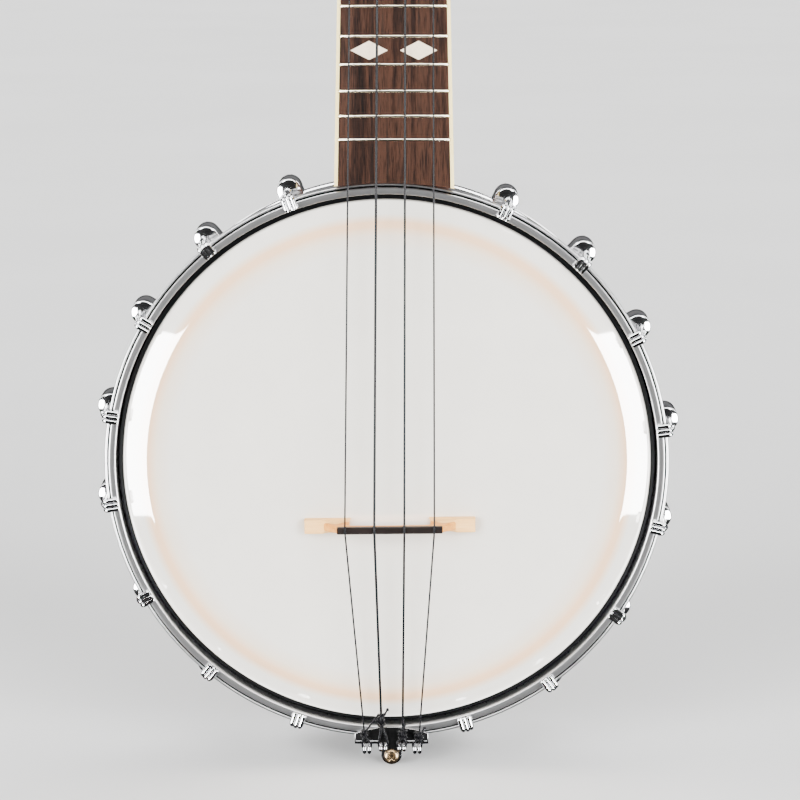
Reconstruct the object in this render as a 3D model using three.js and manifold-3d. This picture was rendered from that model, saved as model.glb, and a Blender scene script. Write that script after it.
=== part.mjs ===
// A four-string banjo ukulele with an open-backed pot, as an assembly of its separate pieces.
//
// Millimetres, +Z up along the neck. The drumhead faces -Y and +X is on the right as seen from the
// front. Pieces are placed about the centre of the drumhead's front surface, and the whole assembly
// is moved at the end so that the origin is the bottom centre of its bounding box.

import * as THREE from "three";
import { mergeVertices } from "three/addons/utils/BufferGeometryUtils.js";
import Module from "manifold-3d";

// ---------------------------------------------------------------- driving dimensions

const SCALE_LENGTH = 347.5;
const BRIDGE_Z = -23.1;
const NUT_Z = BRIDGE_Z + SCALE_LENGTH;
const NECK_X = 3.1; // the neck's centre line stands a little to the right of the hoop's centre
const GAP = 0.3; // between pieces that touch
const RING_SEGMENTS = 64;
const MERGE_TOLERANCE = 1e-3;

const RIM = { inner: 88.4, outer: 99.9, crest: 91.2, crestY: 1.12, shoulderY: 4.2, back: 58.3, chamfer: 0.8 };
const CLADDING = { inner: 100.2, outer: 101.05, front: 6.2, back: 58, bead: 102.4, beadWidth: 2.8 };
const FILM = { flat: 90, slopeEnd: 100.3, slopeDrop: 3.35, collar: 101.85, thickness: 0.5 };
const FLESH = { inner: 101.35, outer: 105.2, front: 6.8, back: 10.6 };
const HOOP = { inner: 102.15, outer: 106.2, front: -0.8, back: 6.4, edge: 0.9 };

const CLAW = { inner: 102.3, outer: 109.4, width: 5.4, front: -2.9, under: -1.1, back: 4.5, bend: 0.8 };
const HOOK_ROD = { centre: 107.95, radius: 1.45, start: 4, end: 48, sides: 10 };
const TENSION_NUT = { radius: 3.6, length: 5 };
const SHOE = { base: 101.5, centre: 107.35, radius: 4.65, front: 20, back: 36, hole: 1.95 };
const HOOK_ANGLES_RIGHT = [25, 44, 63, 83, 103.5, 124, 144, 163.5]; // degrees from the neck
const HOOK_ANGLES_LEFT = [20, 39.5, 59.5, 80, 98.5, 119.5, 140, 161];

const ROD = { x: 2.3, y: 30, radius: 4, reach: 87.3, nutRadius: 7.4, nutLength: 6 };

const BOARD = { front: -7, back: -1.5, end: 106.9, scoop: 149, halfAtNut: 17.55, taper: 0.0215 };
const FRET = { count: 15, height: 1, width: 1.6, crown: 0.8, sink: 0.3, margin: 1 };
const NECK = { front: -1.2, depthAtNut: 13, depthAtHeel: 15.5, clearPot: 101.4, clearHoop: 107.9,
  clearBack: 11.2 };
const HEEL = { depth: 62, cap: 54, root: 113, end: 152, power: 2.2 };
const NECK_TOP_Z = NUT_Z + 6.6;
const NUT = { thickness: 3.8, height: 8.4, halfWidth: 17.5 };

const HEADSTOCK = { tilt: 12, thickness: 13, length: 106, neckHalf: 18, shoulderHalf: 26.5, tipHalf: 24,
  z: NUT_Z + 4.4 };
const POST = { u: 14.5, lowV: 30, highV: 66, radius: 3, rise: 9, hole: 3.5, sides: 16 };
const GEAR = { radius: 4.9, front: 17.5, back: 20.5, screwRadius: 1.6, screwBack: 22 };
const WORM = { drop: 7.3, depth: 19, radius: 2, inner: -3.9, outer: 4.4, shaftRadius: 1.5, shaftInner: -6.9,
  shaftOuter: 18.5 };
const PLATE = { front: 13.3, back: 14.5, halfWidth: 6.2, halfHeight: 13.5, hole: 3.4 };
const EAR = { inner: -5, outer: 5.5, thickness: 1.4, back: 21.5, halfHeight: 2.7, hole: 1.85 };
const BUTTON = { centre: 23.6, halfLength: 6.2, halfDepth: 3.5, halfHeight: 7 };

const BRIDGE = { x: 1.15, foot: 32.25, archHalf: 14.7, archHeight: 8.6, toe: 2, block: 25.2, blockHeight: 4.4,
  topHalf: 19.8, topHeight: 12.4, capDepth: 2.2, footThickness: 4.9, topThickness: 2.6, turn: 0.55 };

const TAILPIECE = { x: 1.55, half: 14.05, shoulderZ: -104.3, crownZ: -101.8, lowZ: -108.5, front: -2.5,
  back: -1.2 };
const TONGUE = { half: 4, endZ: -116.6, screwZ: -113.4, hole: 1.9 };
const PRONG = { half: 1.6, front: -4.6, outerZ: -112.6, innerZ: -110.2, overlap: 0.4 };
const PRONG_OFFSETS = [-9.4, -3.2, 3.9, 9.8];
const TAIL_SCREW = { headRadius: 2.83, headFront: -3.9, headBack: -2.8, shankRadius: 1.5, end: 6 };
const BRACKET = { half: 3.7, thickness: 1.6, lugFront: -0.9, lugZ: -112.6, runZ: -107, stepY: 12.5,
  wallZ: -101.4, end: 44 };
const END_NUT = { radius: 4.2, length: 5.5, y: 30 };

const STRING_SPREAD = 9.47; // between neighbours at the nut
const STRING_RISE = { tail: -3.4, bridge: -13.5, nut: -9.15, post: -4 };
const STRING_TAIL_Z = { end: -107.8, edge: -103.4 };
const STRING_SIDES = 8;
const STRINGS = [
  { name: "g", radius: 0.33, tailX: -7.9, edgeX: -8.7, bridgeX: -15.63, side: -1, high: false },
  { name: "c", radius: 0.48, tailX: -1.7, edgeX: -1.9, bridgeX: -4.63, side: -1, high: true },
  { name: "e", radius: 0.42, tailX: 5.4, edgeX: 5.8, bridgeX: 6.62, side: 1, high: true },
  { name: "a", radius: 0.33, tailX: 11.4, edgeX: 12.2, bridgeX: 17.87, side: 1, high: false },
];

const FINISH = {
  chrome: { color: 0xc9cbcd, metalness: 1, roughness: 0.12 },
  aluminium: { color: 0xb4b6b8, metalness: 1, roughness: 0.4 },
  brass: { color: 0xb08d4c, metalness: 1, roughness: 0.3 },
  film: { color: 0xe8e6e1, metalness: 0, roughness: 0.45 },
  maple: { color: 0xe3bd8c, metalness: 0, roughness: 0.5 },
  mahogany: { color: 0x6e3b22, metalness: 0, roughness: 0.4 },
  rosewood: { color: 0x5a382b, metalness: 0, roughness: 0.55 },
  bone: { color: 0xf0e6c8, metalness: 0, roughness: 0.5 },
  nylon: { color: 0x2b2a2c, metalness: 0, roughness: 0.35 },
};

// ---------------------------------------------------------------- solids

const wasm = await Module();
wasm.setup();

/** A closed geometry as a manifold-3d solid. */
function solidOf(geometry) {
  const bare = geometry.clone();
  bare.deleteAttribute("normal");
  bare.deleteAttribute("uv");
  const merged = mergeVertices(bare, MERGE_TOLERANCE);
  const vertProperties = merged.attributes.position.array;
  const triVerts = new Uint32Array(merged.index.array);
  return new wasm.Manifold(new wasm.Mesh({ numProp: 3, vertProperties, triVerts }));
}

/** A manifold-3d solid as a flat-shaded geometry. */
function geometryOf(solid) {
  const mesh = solid.getMesh();
  const shared = new THREE.BufferGeometry();
  shared.setAttribute("position", new THREE.BufferAttribute(mesh.vertProperties, 3));
  shared.setIndex(new THREE.BufferAttribute(mesh.triVerts, 1));
  const flat = shared.toNonIndexed();
  flat.computeVertexNormals();
  return flat;
}

function join(...geometries) {
  return geometryOf(geometries.map(solidOf).reduce((all, next) => all.add(next)));
}

function cut(geometry, ...tools) {
  return geometryOf(tools.map(solidOf).reduce((rest, tool) => rest.subtract(tool), solidOf(geometry)));
}

/** A ring about the Y axis, from the corners [radius, y] of its section. */
function ring(section) {
  const points = section.map(([radius, y]) => new THREE.Vector2(radius, y));
  if (THREE.ShapeUtils.area(points) < 0) points.reverse();
  return new THREE.LatheGeometry([...points, points[0]], RING_SEGMENTS);
}

/** A shape drawn in X and Z, as a slab from y = front to y = back. */
function slab(shape, front, back, curveSegments = 8) {
  const geometry = new THREE.ExtrudeGeometry(shape, { depth: back - front, bevelEnabled: false, curveSegments });
  return geometry.rotateX(Math.PI / 2).translate(0, back, 0);
}

/** A shape drawn in Y and Z, as a bar of the given width about x = 0. */
function bar(shape, width) {
  const geometry = new THREE.ExtrudeGeometry(shape, { depth: width, bevelEnabled: false, curveSegments: 4 });
  return geometry.rotateX(Math.PI / 2).rotateZ(Math.PI / 2).translate(-width / 2, 0, 0);
}

/** A cylinder or prism along Y, from y = front to y = back. */
function pillar(radius, front, back, sides, x = 0, z = 0) {
  return new THREE.CylinderGeometry(radius, radius, back - front, sides).translate(x, (front + back) / 2, z);
}

function shapeOf(points) {
  return new THREE.Shape(points.map(([a, b]) => new THREE.Vector2(a, b)));
}

function circleHole(x, y, radius) {
  return new THREE.Path().absarc(x, y, radius, 0, 2 * Math.PI, true);
}

function piece(name, geometry, finish) {
  const mesh = new THREE.Mesh(geometry, new THREE.MeshStandardMaterial(FINISH[finish]));
  mesh.name = name;
  return mesh;
}

// ---------------------------------------------------------------- the pot

/** The laminated wooden rim, with its bearing edge inside the front. */
function rimShell() {
  const { inner, outer, crest, crestY, shoulderY, back, chamfer } = RIM;
  return ring([
    [inner, back - chamfer],
    [inner + chamfer, back],
    [outer, back],
    [outer, shoulderY],
    [crest, crestY],
    [crest - 1.2, crestY],
    [inner, crestY + 2],
  ]);
}

/** The plated sheet-metal skin round the rim, rolled to a bead at the back. */
function rimCladding() {
  const { inner, outer, front, back, bead, beadWidth } = CLADDING;
  const step = (bead - outer) / 2;
  return ring([
    [inner, front],
    [outer, front],
    [outer, back - beadWidth],
    [outer + step, back - beadWidth + step / 2],
    [bead, back - beadWidth + 2 * step],
    [bead, back - 2 * step],
    [outer + step, back - step / 2],
    [outer, back],
    [inner, back],
  ]);
}

/** The frosted film with its sloped crown and collar, bonded into its flesh hoop. */
function drumhead() {
  const { flat, slopeEnd, slopeDrop, collar, thickness } = FILM;
  const outside = [
    [0, 0],
    [flat, 0],
    [flat + 1.4, 0.25],
    [slopeEnd, slopeDrop],
    [collar - 0.4, slopeDrop + 1],
    [collar, slopeDrop + 2.2],
    [collar, FLESH.front],
    [FLESH.outer, FLESH.front],
    [FLESH.outer, FLESH.back],
    [FLESH.inner, FLESH.back],
  ];
  const inside = [
    [FLESH.inner, slopeDrop + 2.35],
    [FLESH.inner - 0.35, slopeDrop + 1.4],
    [slopeEnd - 0.4, slopeDrop + thickness],
    [flat + 1.2, 0.3 + thickness],
    [flat, thickness],
    [0, thickness],
  ];
  const points = [...outside, ...inside].map(([radius, y]) => new THREE.Vector2(radius, y));
  return new THREE.LatheGeometry(points, RING_SEGMENTS);
}

/** The flat-topped tension hoop that pulls the flesh hoop down over the rim. */
function tensionHoop() {
  const { inner, outer, front, back, edge } = HOOP;
  return ring([
    [inner, front + edge / 3],
    [inner + edge / 3, front],
    [outer - 1.3 * edge, front],
    [outer - edge / 3, front + edge / 2],
    [outer, front + 1.5 * edge],
    [outer, back - edge],
    [outer - edge / 2, back],
    [inner, back],
  ]);
}

/** One bracket hook: a claw over the hoop, a threaded rod and its tension nut. */
function tensionHook() {
  const { inner, outer, width, front, under, back, bend } = CLAW;
  const claw = bar(
    shapeOf([
      [front, inner],
      [under, inner],
      [under, HOOP.outer + GAP],
      [back, HOOP.outer + GAP],
      [back, outer],
      [front + bend, outer],
      [front, outer - bend],
    ]),
    width,
  );
  const rod = pillar(HOOK_ROD.radius, HOOK_ROD.start, HOOK_ROD.end, HOOK_ROD.sides, 0, HOOK_ROD.centre);
  const nutFront = SHOE.back + GAP;
  const nut = pillar(TENSION_NUT.radius, nutFront, nutFront + TENSION_NUT.length, 6, 0, HOOK_ROD.centre);
  return join(claw, rod, nut);
}

/** One cast shoe: a D-shaped block on the rim's wall, bored for the hook's rod. */
function hookShoe() {
  const { base, centre, radius, front, back, hole } = SHOE;
  const outline = new THREE.Shape();
  outline.moveTo(-radius, base);
  outline.lineTo(radius, base);
  outline.absarc(0, centre, radius, 0, Math.PI, false);
  outline.closePath();
  outline.holes.push(circleHole(0, HOOK_ROD.centre, hole));
  return slab(outline, front, back);
}

/** The steel rod that ties the neck to the tail inside the pot, with a hex nut at each end. */
function coordinatorRod() {
  const { x, y, radius, reach, nutRadius, nutLength } = ROD;
  const shaft = new THREE.CylinderGeometry(radius, radius, 2 * reach, 16);
  const nut = new THREE.CylinderGeometry(nutRadius, nutRadius, nutLength, 6);
  const top = nut.clone().translate(0, reach - nutLength / 2, 0);
  const bottom = nut.clone().translate(0, nutLength / 2 - reach, 0);
  return join(shaft, top, bottom).rotateX(Math.PI / 2).translate(x, y, 0);
}

function potPieces() {
  const pot = new THREE.Group();
  pot.add(piece("rim_shell", rimShell(), "maple"));
  pot.add(piece("rim_cladding", rimCladding(), "chrome"));
  pot.add(piece("drumhead", drumhead(), "film"));
  pot.add(piece("tension_hoop", tensionHoop(), "chrome"));
  pot.add(piece("coordinator_rod", coordinatorRod(), "chrome"));
  const clockwise = [...HOOK_ANGLES_RIGHT, ...HOOK_ANGLES_LEFT.map((angle) => -angle).reverse()];
  clockwise.forEach((angle, i) => {
    const station = new THREE.Group();
    const number = String(i + 1).padStart(2, "0");
    station.rotation.y = THREE.MathUtils.degToRad(angle);
    station.add(piece("tension_hook_" + number, tensionHook(), "chrome"));
    station.add(piece("hook_shoe_" + number, hookShoe(), "chrome"));
    pot.add(station);
  });
  return pot;
}

// ---------------------------------------------------------------- bridge and tailpiece

/** The two-footed bridge, thinner at its top than at its feet. */
function bridge() {
  const { foot, archHalf, archHeight, toe, block, blockHeight, topHalf, topHeight, capDepth } = BRIDGE;
  const outline = new THREE.Shape();
  outline.moveTo(-foot, 0);
  outline.lineTo(-foot, -blockHeight);
  outline.lineTo(-block, -blockHeight);
  outline.lineTo(-topHalf, capDepth - topHeight);
  outline.lineTo(-topHalf, -topHeight);
  outline.lineTo(topHalf, -topHeight);
  outline.lineTo(topHalf, capDepth - topHeight);
  outline.lineTo(block, -blockHeight);
  outline.lineTo(foot, -blockHeight);
  outline.lineTo(foot, 0);
  outline.lineTo(archHalf, 0);
  outline.lineTo(archHalf, -toe);
  outline.bezierCurveTo(archHalf + toe, -toe, archHalf + toe, -archHeight, archHalf - toe, -archHeight);
  outline.lineTo(toe - archHalf, -archHeight);
  outline.bezierCurveTo(-archHalf - toe, -archHeight, -archHalf - toe, -toe, -archHalf, -toe);
  const depth = BRIDGE.footThickness;
  const geometry = new THREE.ExtrudeGeometry(outline, { depth, bevelEnabled: false, curveSegments: 6 });
  geometry.translate(0, 0, -depth / 2);
  const place = geometry.attributes.position;
  for (let i = 0; i < place.count; i += 1) {
    const height = -place.getY(i) / topHeight;
    place.setZ(i, place.getZ(i) * THREE.MathUtils.lerp(1, BRIDGE.topThickness / depth, height));
  }
  geometry.rotateY(THREE.MathUtils.degToRad(-BRIDGE.turn));
  return geometry.translate(BRIDGE.x, -GAP, BRIDGE_Z);
}

/** The sheet-metal tailpiece: an arched plate over the hoop, string prongs and a screwed tongue. */
function tailpiecePlate() {
  const { x, half, shoulderZ, crownZ, lowZ, front, back } = TAILPIECE;
  const outline = new THREE.Shape();
  outline.moveTo(x - half, lowZ);
  outline.lineTo(x - TONGUE.half, lowZ);
  outline.lineTo(x - TONGUE.half, TONGUE.endZ + TONGUE.half);
  outline.absarc(x, TONGUE.endZ + TONGUE.half, TONGUE.half, Math.PI, 2 * Math.PI, false);
  outline.lineTo(x + TONGUE.half, lowZ);
  outline.lineTo(x + half, lowZ);
  outline.lineTo(x + half, shoulderZ);
  outline.quadraticCurveTo(x, 2 * crownZ - shoulderZ, x - half, shoulderZ);
  outline.closePath();
  outline.holes.push(circleHole(x, TONGUE.screwZ, TONGUE.hole));
  const prongs = PRONG_OFFSETS.map((offset) => {
    const low = Math.abs(offset) < 2 * TONGUE.half ? PRONG.innerZ : PRONG.outerZ;
    const height = lowZ + PRONG.overlap - low;
    const prong = new THREE.BoxGeometry(2 * PRONG.half, back - PRONG.front, height);
    return prong.translate(x + offset, (back + PRONG.front) / 2, low + height / 2);
  });
  return join(slab(outline, front, back), ...prongs);
}

/** The tailpiece's clamp screw, with its slotted pan head at the front. */
function tailpieceScrew() {
  const { headRadius, headFront, headBack, shankRadius, end } = TAIL_SCREW;
  const head = pillar(headRadius, headFront, headBack, 20);
  const shank = pillar(shankRadius, headBack - GAP, end, 12);
  return join(head, shank).translate(TAILPIECE.x, 0, TONGUE.screwZ);
}

/** The strap that holds the tailpiece to the tail of the rim, with the end nut on it. */
function tailpieceBracket() {
  const { half, thickness, lugFront, lugZ, runZ, stepY, wallZ, end } = BRACKET;
  const strap = bar(
    shapeOf([
      [lugFront, lugZ],
      [lugFront + thickness, lugZ],
      [lugFront + thickness, runZ - thickness],
      [stepY + thickness, runZ - thickness],
      [stepY + thickness, wallZ - thickness],
      [end, wallZ - thickness],
      [end, wallZ],
      [stepY, wallZ],
      [stepY, runZ],
      [lugFront, runZ],
    ]),
    2 * half,
  );
  const lugEnd = pillar(half, lugFront, lugFront + thickness, 24, 0, lugZ);
  const hole = pillar(TONGUE.hole, lugFront - 1, lugFront + thickness + 1, 12, 0, TONGUE.screwZ);
  const nut = new THREE.CylinderGeometry(END_NUT.radius, END_NUT.radius, END_NUT.length, 6);
  nut.rotateX(Math.PI / 2).translate(0, END_NUT.y, wallZ - thickness - END_NUT.length / 2 + GAP);
  return join(cut(join(strap, lugEnd), hole), nut).translate(TAILPIECE.x, 0, 0);
}

// ---------------------------------------------------------------- the neck

function boardHalfWidth(z) {
  return BOARD.halfAtNut + BOARD.taper * (NUT_Z - z);
}

/** The bound fingerboard with its frets, its end scooped to follow the hoop. */
function fingerboard() {
  const top = NUT_Z - GAP;
  const endAngle = (side) => Math.acos((NECK_X + side * boardHalfWidth(BOARD.end)) / BOARD.scoop);
  const outline = new THREE.Shape();
  outline.moveTo(NECK_X + boardHalfWidth(top), top);
  outline.lineTo(NECK_X - boardHalfWidth(top), top);
  outline.absarc(0, BOARD.end - BOARD.scoop, BOARD.scoop, endAngle(-1), endAngle(1), true);
  outline.closePath();
  const board = slab(outline, BOARD.front, BOARD.back);
  const frets = Array.from({ length: FRET.count }, (unused, i) => {
    const z = BRIDGE_Z + SCALE_LENGTH * 2 ** (-(i + 1) / 12);
    return fret().scale(2 * (boardHalfWidth(z) - FRET.margin), 1, 1).translate(NECK_X, BOARD.front, z);
  });
  return join(board, ...frets);
}

/** A fret of unit length, its crown in front of y = 0. */
function fret() {
  const { height, width, crown, sink } = FRET;
  const section = [
    [sink, -width / 2],
    [sink, width / 2],
    [-height / 2, width / 2],
    [-height, crown / 2],
    [-height, -crown / 2],
    [-height / 2, -width / 2],
  ];
  return bar(shapeOf(section), 1);
}

/** Depth of the neck behind its flat front at height z, deepening into the heel. */
function neckDepth(z) {
  const along = THREE.MathUtils.clamp((z - HEEL.root) / (NUT_Z - HEEL.root), 0, 1);
  const shaft = THREE.MathUtils.lerp(NECK.depthAtHeel, NECK.depthAtNut, along);
  const rise = THREE.MathUtils.clamp((HEEL.end - z) / (HEEL.end - HEEL.root), 0, 1);
  return shaft + (HEEL.depth - shaft) * rise ** HEEL.power;
}

/** The D-sectioned neck and heel, drawn out from a cylinder, before the pot is cut from it. */
function neckBlank() {
  const rings = 26;
  const geometry = new THREE.CylinderGeometry(1, 1, 1, 24, rings);
  const place = geometry.attributes.position;
  const start = NECK.clearPot - 8;
  for (let i = 0; i < place.count; i += 1) {
    const fromHeel = (0.5 + place.getY(i)) ** 1.7;
    const z = THREE.MathUtils.lerp(start, NECK_TOP_Z, fromHeel);
    const edge = Math.hypot(place.getX(i), place.getZ(i));
    const turn = Math.atan2(-place.getZ(i), place.getX(i));
    const depth = neckDepth(z);
    const back = edge > 0 ? Math.max(Math.sin(turn), 0) * depth : depth / 3;
    const x = edge * Math.cos(turn) * boardHalfWidth(z);
    place.setXYZ(i, NECK_X + x, NECK.front + back, z);
  }
  return geometry;
}

/** The headstock, bored for the four string posts, in its own upright frame. */
function headstockBlank() {
  const { thickness, length, neckHalf, shoulderHalf, tipHalf } = HEADSTOCK;
  const outline = new THREE.Shape();
  outline.moveTo(-neckHalf, 0);
  outline.lineTo(neckHalf, 0);
  outline.bezierCurveTo(neckHalf + 1, 8, shoulderHalf, 8, shoulderHalf, 20);
  outline.lineTo(tipHalf, length - 14);
  outline.bezierCurveTo(tipHalf, length - 4, tipHalf / 2, length - 7, 0, length);
  outline.bezierCurveTo(-tipHalf / 2, length - 7, -tipHalf, length - 4, -tipHalf, length - 14);
  outline.lineTo(-shoulderHalf, 20);
  outline.bezierCurveTo(-shoulderHalf, 8, -neckHalf - 1, 8, -neckHalf, 0);
  for (const string of STRINGS) outline.holes.push(circleHole(string.side * POST.u, postV(string), POST.hole));
  return slab(outline, 0, thickness, 7);
}

/** Moves a geometry or group from the headstock's upright frame to its tilted place. */
function placeHeadstock(item) {
  const tilt = -THREE.MathUtils.degToRad(HEADSTOCK.tilt);
  if (item.isBufferGeometry) return item.rotateX(tilt).translate(NECK_X, NECK.front, HEADSTOCK.z);
  item.rotation.x = tilt;
  item.position.set(NECK_X, NECK.front, HEADSTOCK.z);
  return item;
}

/** The one-piece neck: headstock, shaft and heel, fitted round the hoop and against the rim. */
function neck() {
  const shaped = join(neckBlank(), placeHeadstock(headstockBlank()));
  const potWall = pillar(NECK.clearPot, -20, 90, 96);
  const hoopRoom = pillar(NECK.clearHoop, -20, NECK.clearBack, 96);
  const capTrim = new THREE.BoxGeometry(80, 40, 80).translate(NECK_X, HEEL.cap + 20, HEEL.root);
  return cut(shaped, potWall, hoopRoom, capTrim);
}

/** The nut, a little higher at its fingerboard side. */
function nut() {
  const { thickness, height, halfWidth } = NUT;
  const section = [
    [BOARD.back, NUT_Z],
    [BOARD.back, NUT_Z + thickness],
    [1.2 - height, NUT_Z + thickness],
    [-height, NUT_Z + 0.5],
    [0.3 - height, NUT_Z],
  ];
  return bar(shapeOf(section), 2 * halfWidth).translate(NECK_X, 0, 0);
}

// ---------------------------------------------------------------- tuners and strings

function postV(string) {
  return string.high ? POST.highV : POST.lowV;
}

/** A string post with its worm wheel and retaining screw. */
function stringPost(string) {
  const shaft = pillar(POST.radius, -POST.rise, GEAR.front + 1, POST.sides);
  const wheel = pillar(GEAR.radius, GEAR.front, GEAR.back, POST.sides);
  const screw = pillar(GEAR.screwRadius, GEAR.back - 1, GEAR.screwBack, POST.sides);
  return join(shaft, wheel, screw).translate(string.side * POST.u, 0, postV(string));
}

/** The tuner's base plate, with two ears that carry the worm's shaft. */
function tunerPlate(string) {
  const { front, back, halfWidth, halfHeight, hole } = PLATE;
  const outline = new THREE.Shape();
  outline.absarc(0, halfHeight - halfWidth, halfWidth, 0, Math.PI, false);
  outline.absarc(0, halfWidth - halfHeight, halfWidth, Math.PI, 2 * Math.PI, false);
  outline.closePath();
  outline.holes.push(circleHole(0, 0, hole));
  const ears = [EAR.inner, EAR.outer].map((u) => ear().translate(string.side * u, 0, 0));
  return join(slab(outline, front, back, 5), ...ears).translate(string.side * POST.u, 0, postV(string));
}

/** One bored ear of the base plate, about u = 0. */
function ear() {
  const low = -WORM.drop - EAR.halfHeight;
  const high = EAR.halfHeight - WORM.drop;
  const shape = shapeOf([
    [PLATE.front, low],
    [EAR.back, low],
    [EAR.back, high],
    [PLATE.front, high],
  ]);
  shape.holes.push(circleHole(WORM.depth, -WORM.drop, EAR.hole));
  return bar(shape, EAR.thickness);
}

/** The worm, its shaft and the button that turns it. */
function tunerButton(string) {
  const along = (radius, inner, outer) => {
    const rod = new THREE.CylinderGeometry(radius, radius, outer - inner, 12);
    return rod.rotateZ(Math.PI / 2).translate(string.side * (inner + outer) / 2, 0, 0);
  };
  const knob = new THREE.SphereGeometry(1, 14, 9);
  knob.scale(BUTTON.halfLength, BUTTON.halfDepth, BUTTON.halfHeight).translate(string.side * BUTTON.centre, 0, 0);
  const shaft = along(WORM.shaftRadius, WORM.shaftInner, WORM.shaftOuter);
  const worm = along(WORM.radius, WORM.inner, WORM.outer);
  return join(shaft, worm, knob).translate(string.side * POST.u, WORM.depth, postV(string) - WORM.drop);
}

/** A route that runs straight from point to point and is sampled exactly at its points. */
class Route extends THREE.Curve {
  constructor(points) {
    super();
    this.points = points;
  }

  getPoint(t, target = new THREE.Vector3()) {
    const place = t * (this.points.length - 1);
    const i = Math.min(Math.floor(place), this.points.length - 2);
    return target.lerpVectors(this.points[i], this.points[i + 1], place - i);
  }

  getPointAt(u, target) {
    return this.getPoint(u, target);
  }

  getTangentAt(u, target) {
    return this.getTangent(u, target);
  }
}

/** Where a string meets its post, in the assembly's frame. */
function postPoint(string) {
  const reach = POST.radius + GAP + string.radius;
  const point = new THREE.Vector3(string.side * (POST.u - reach), STRING_RISE.post, postV(string));
  point.applyAxisAngle(new THREE.Vector3(1, 0, 0), -THREE.MathUtils.degToRad(HEADSTOCK.tilt));
  return point.add(new THREE.Vector3(NECK_X, NECK.front, HEADSTOCK.z));
}

/** One string, from its prong on the tailpiece over the bridge and the nut to its post. */
function stringTube(string, index) {
  const nutX = NECK_X + (index - (STRINGS.length - 1) / 2) * STRING_SPREAD;
  const route = new Route([
    new THREE.Vector3(string.tailX, STRING_RISE.tail, STRING_TAIL_Z.end),
    new THREE.Vector3(string.edgeX, STRING_RISE.tail, STRING_TAIL_Z.edge),
    new THREE.Vector3(string.bridgeX, STRING_RISE.bridge, BRIDGE_Z),
    new THREE.Vector3(nutX, STRING_RISE.nut, NUT_Z + 1),
    postPoint(string),
  ]);
  const section = new THREE.Shape().absarc(0, 0, string.radius, 0, 2 * Math.PI, false);
  const steps = route.points.length - 1;
  return new THREE.ExtrudeGeometry(section, { extrudePath: route, steps, curveSegments: STRING_SIDES / 2 });
}

function neckPieces() {
  const group = new THREE.Group();
  group.add(piece("neck", neck(), "mahogany"));
  group.add(piece("fingerboard", fingerboard(), "rosewood"));
  group.add(piece("nut", nut(), "bone"));
  const headstock = placeHeadstock(new THREE.Group());
  for (const string of STRINGS) {
    headstock.add(piece("tuner_plate_" + string.name, tunerPlate(string), "chrome"));
    headstock.add(piece("tuner_button_" + string.name, tunerButton(string), "bone"));
    headstock.add(piece("string_post_" + string.name, stringPost(string), "chrome"));
  }
  group.add(headstock);
  return group;
}

function fittings() {
  const group = new THREE.Group();
  group.add(piece("bridge", bridge(), "maple"));
  group.add(piece("tailpiece_plate", tailpiecePlate(), "chrome"));
  group.add(piece("tailpiece_screw", tailpieceScrew(), "chrome"));
  group.add(piece("tailpiece_bracket", tailpieceBracket(), "chrome"));
  STRINGS.forEach((string, i) => group.add(piece("string_" + string.name, stringTube(string, i), "nylon")));
  return group;
}

// ---------------------------------------------------------------- the assembly

const assembly = new THREE.Group();
assembly.add(potPieces(), fittings(), neckPieces());

const bounds = new THREE.Box3().setFromObject(assembly, true);
const middle = bounds.getCenter(new THREE.Vector3());
assembly.position.set(-middle.x, -middle.y, -bounds.min.z);

const banjo = new THREE.Group();
banjo.add(assembly);

export default banjo;
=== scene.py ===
from math import acos, copysign, cos, degrees, pi, radians, sin, sqrt

import bmesh
import bpy
from mathutils import Matrix, Quaternion, Vector


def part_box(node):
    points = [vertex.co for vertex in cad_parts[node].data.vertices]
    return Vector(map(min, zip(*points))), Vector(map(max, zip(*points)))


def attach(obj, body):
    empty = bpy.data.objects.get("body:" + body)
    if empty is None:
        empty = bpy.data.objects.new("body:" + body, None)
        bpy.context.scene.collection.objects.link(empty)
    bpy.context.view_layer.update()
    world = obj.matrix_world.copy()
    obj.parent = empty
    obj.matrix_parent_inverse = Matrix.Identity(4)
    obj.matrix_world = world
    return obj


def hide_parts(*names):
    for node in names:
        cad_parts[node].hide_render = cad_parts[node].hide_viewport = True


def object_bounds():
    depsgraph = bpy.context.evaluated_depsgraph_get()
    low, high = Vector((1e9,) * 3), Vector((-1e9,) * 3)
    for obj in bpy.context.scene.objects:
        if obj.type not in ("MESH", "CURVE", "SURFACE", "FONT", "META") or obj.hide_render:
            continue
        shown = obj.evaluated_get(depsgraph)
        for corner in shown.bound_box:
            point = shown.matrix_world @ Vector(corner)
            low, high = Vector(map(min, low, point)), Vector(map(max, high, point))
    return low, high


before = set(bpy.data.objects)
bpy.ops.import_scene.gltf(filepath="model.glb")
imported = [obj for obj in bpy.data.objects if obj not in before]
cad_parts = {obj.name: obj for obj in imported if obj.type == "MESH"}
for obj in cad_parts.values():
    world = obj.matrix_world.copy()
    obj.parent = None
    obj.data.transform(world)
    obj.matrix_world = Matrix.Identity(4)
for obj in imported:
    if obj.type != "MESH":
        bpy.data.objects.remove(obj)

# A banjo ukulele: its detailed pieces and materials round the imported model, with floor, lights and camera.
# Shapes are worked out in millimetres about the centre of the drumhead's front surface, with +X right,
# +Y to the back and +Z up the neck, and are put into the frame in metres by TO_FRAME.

CAD_BOX = [list(corner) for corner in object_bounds()]
MM = 0.001
AXIS = 0.02  # the radius at which a turned solid closes on its axis

# ---- places read from the frame

hoop_low, hoop_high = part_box("tension_hoop")
CENTRE = Vector(((hoop_low.x + hoop_high.x) / 2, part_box("drumhead")[0].y, (hoop_low.z + hoop_high.z) / 2))
TO_FRAME = Matrix.Translation(CENTRE) @ Matrix.Scale(MM, 4)


def extent(node):
    """Lowest and highest corner of a CAD node, in millimetres about the pot's centre."""
    return [(corner - CENTRE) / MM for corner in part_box(node)]


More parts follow.
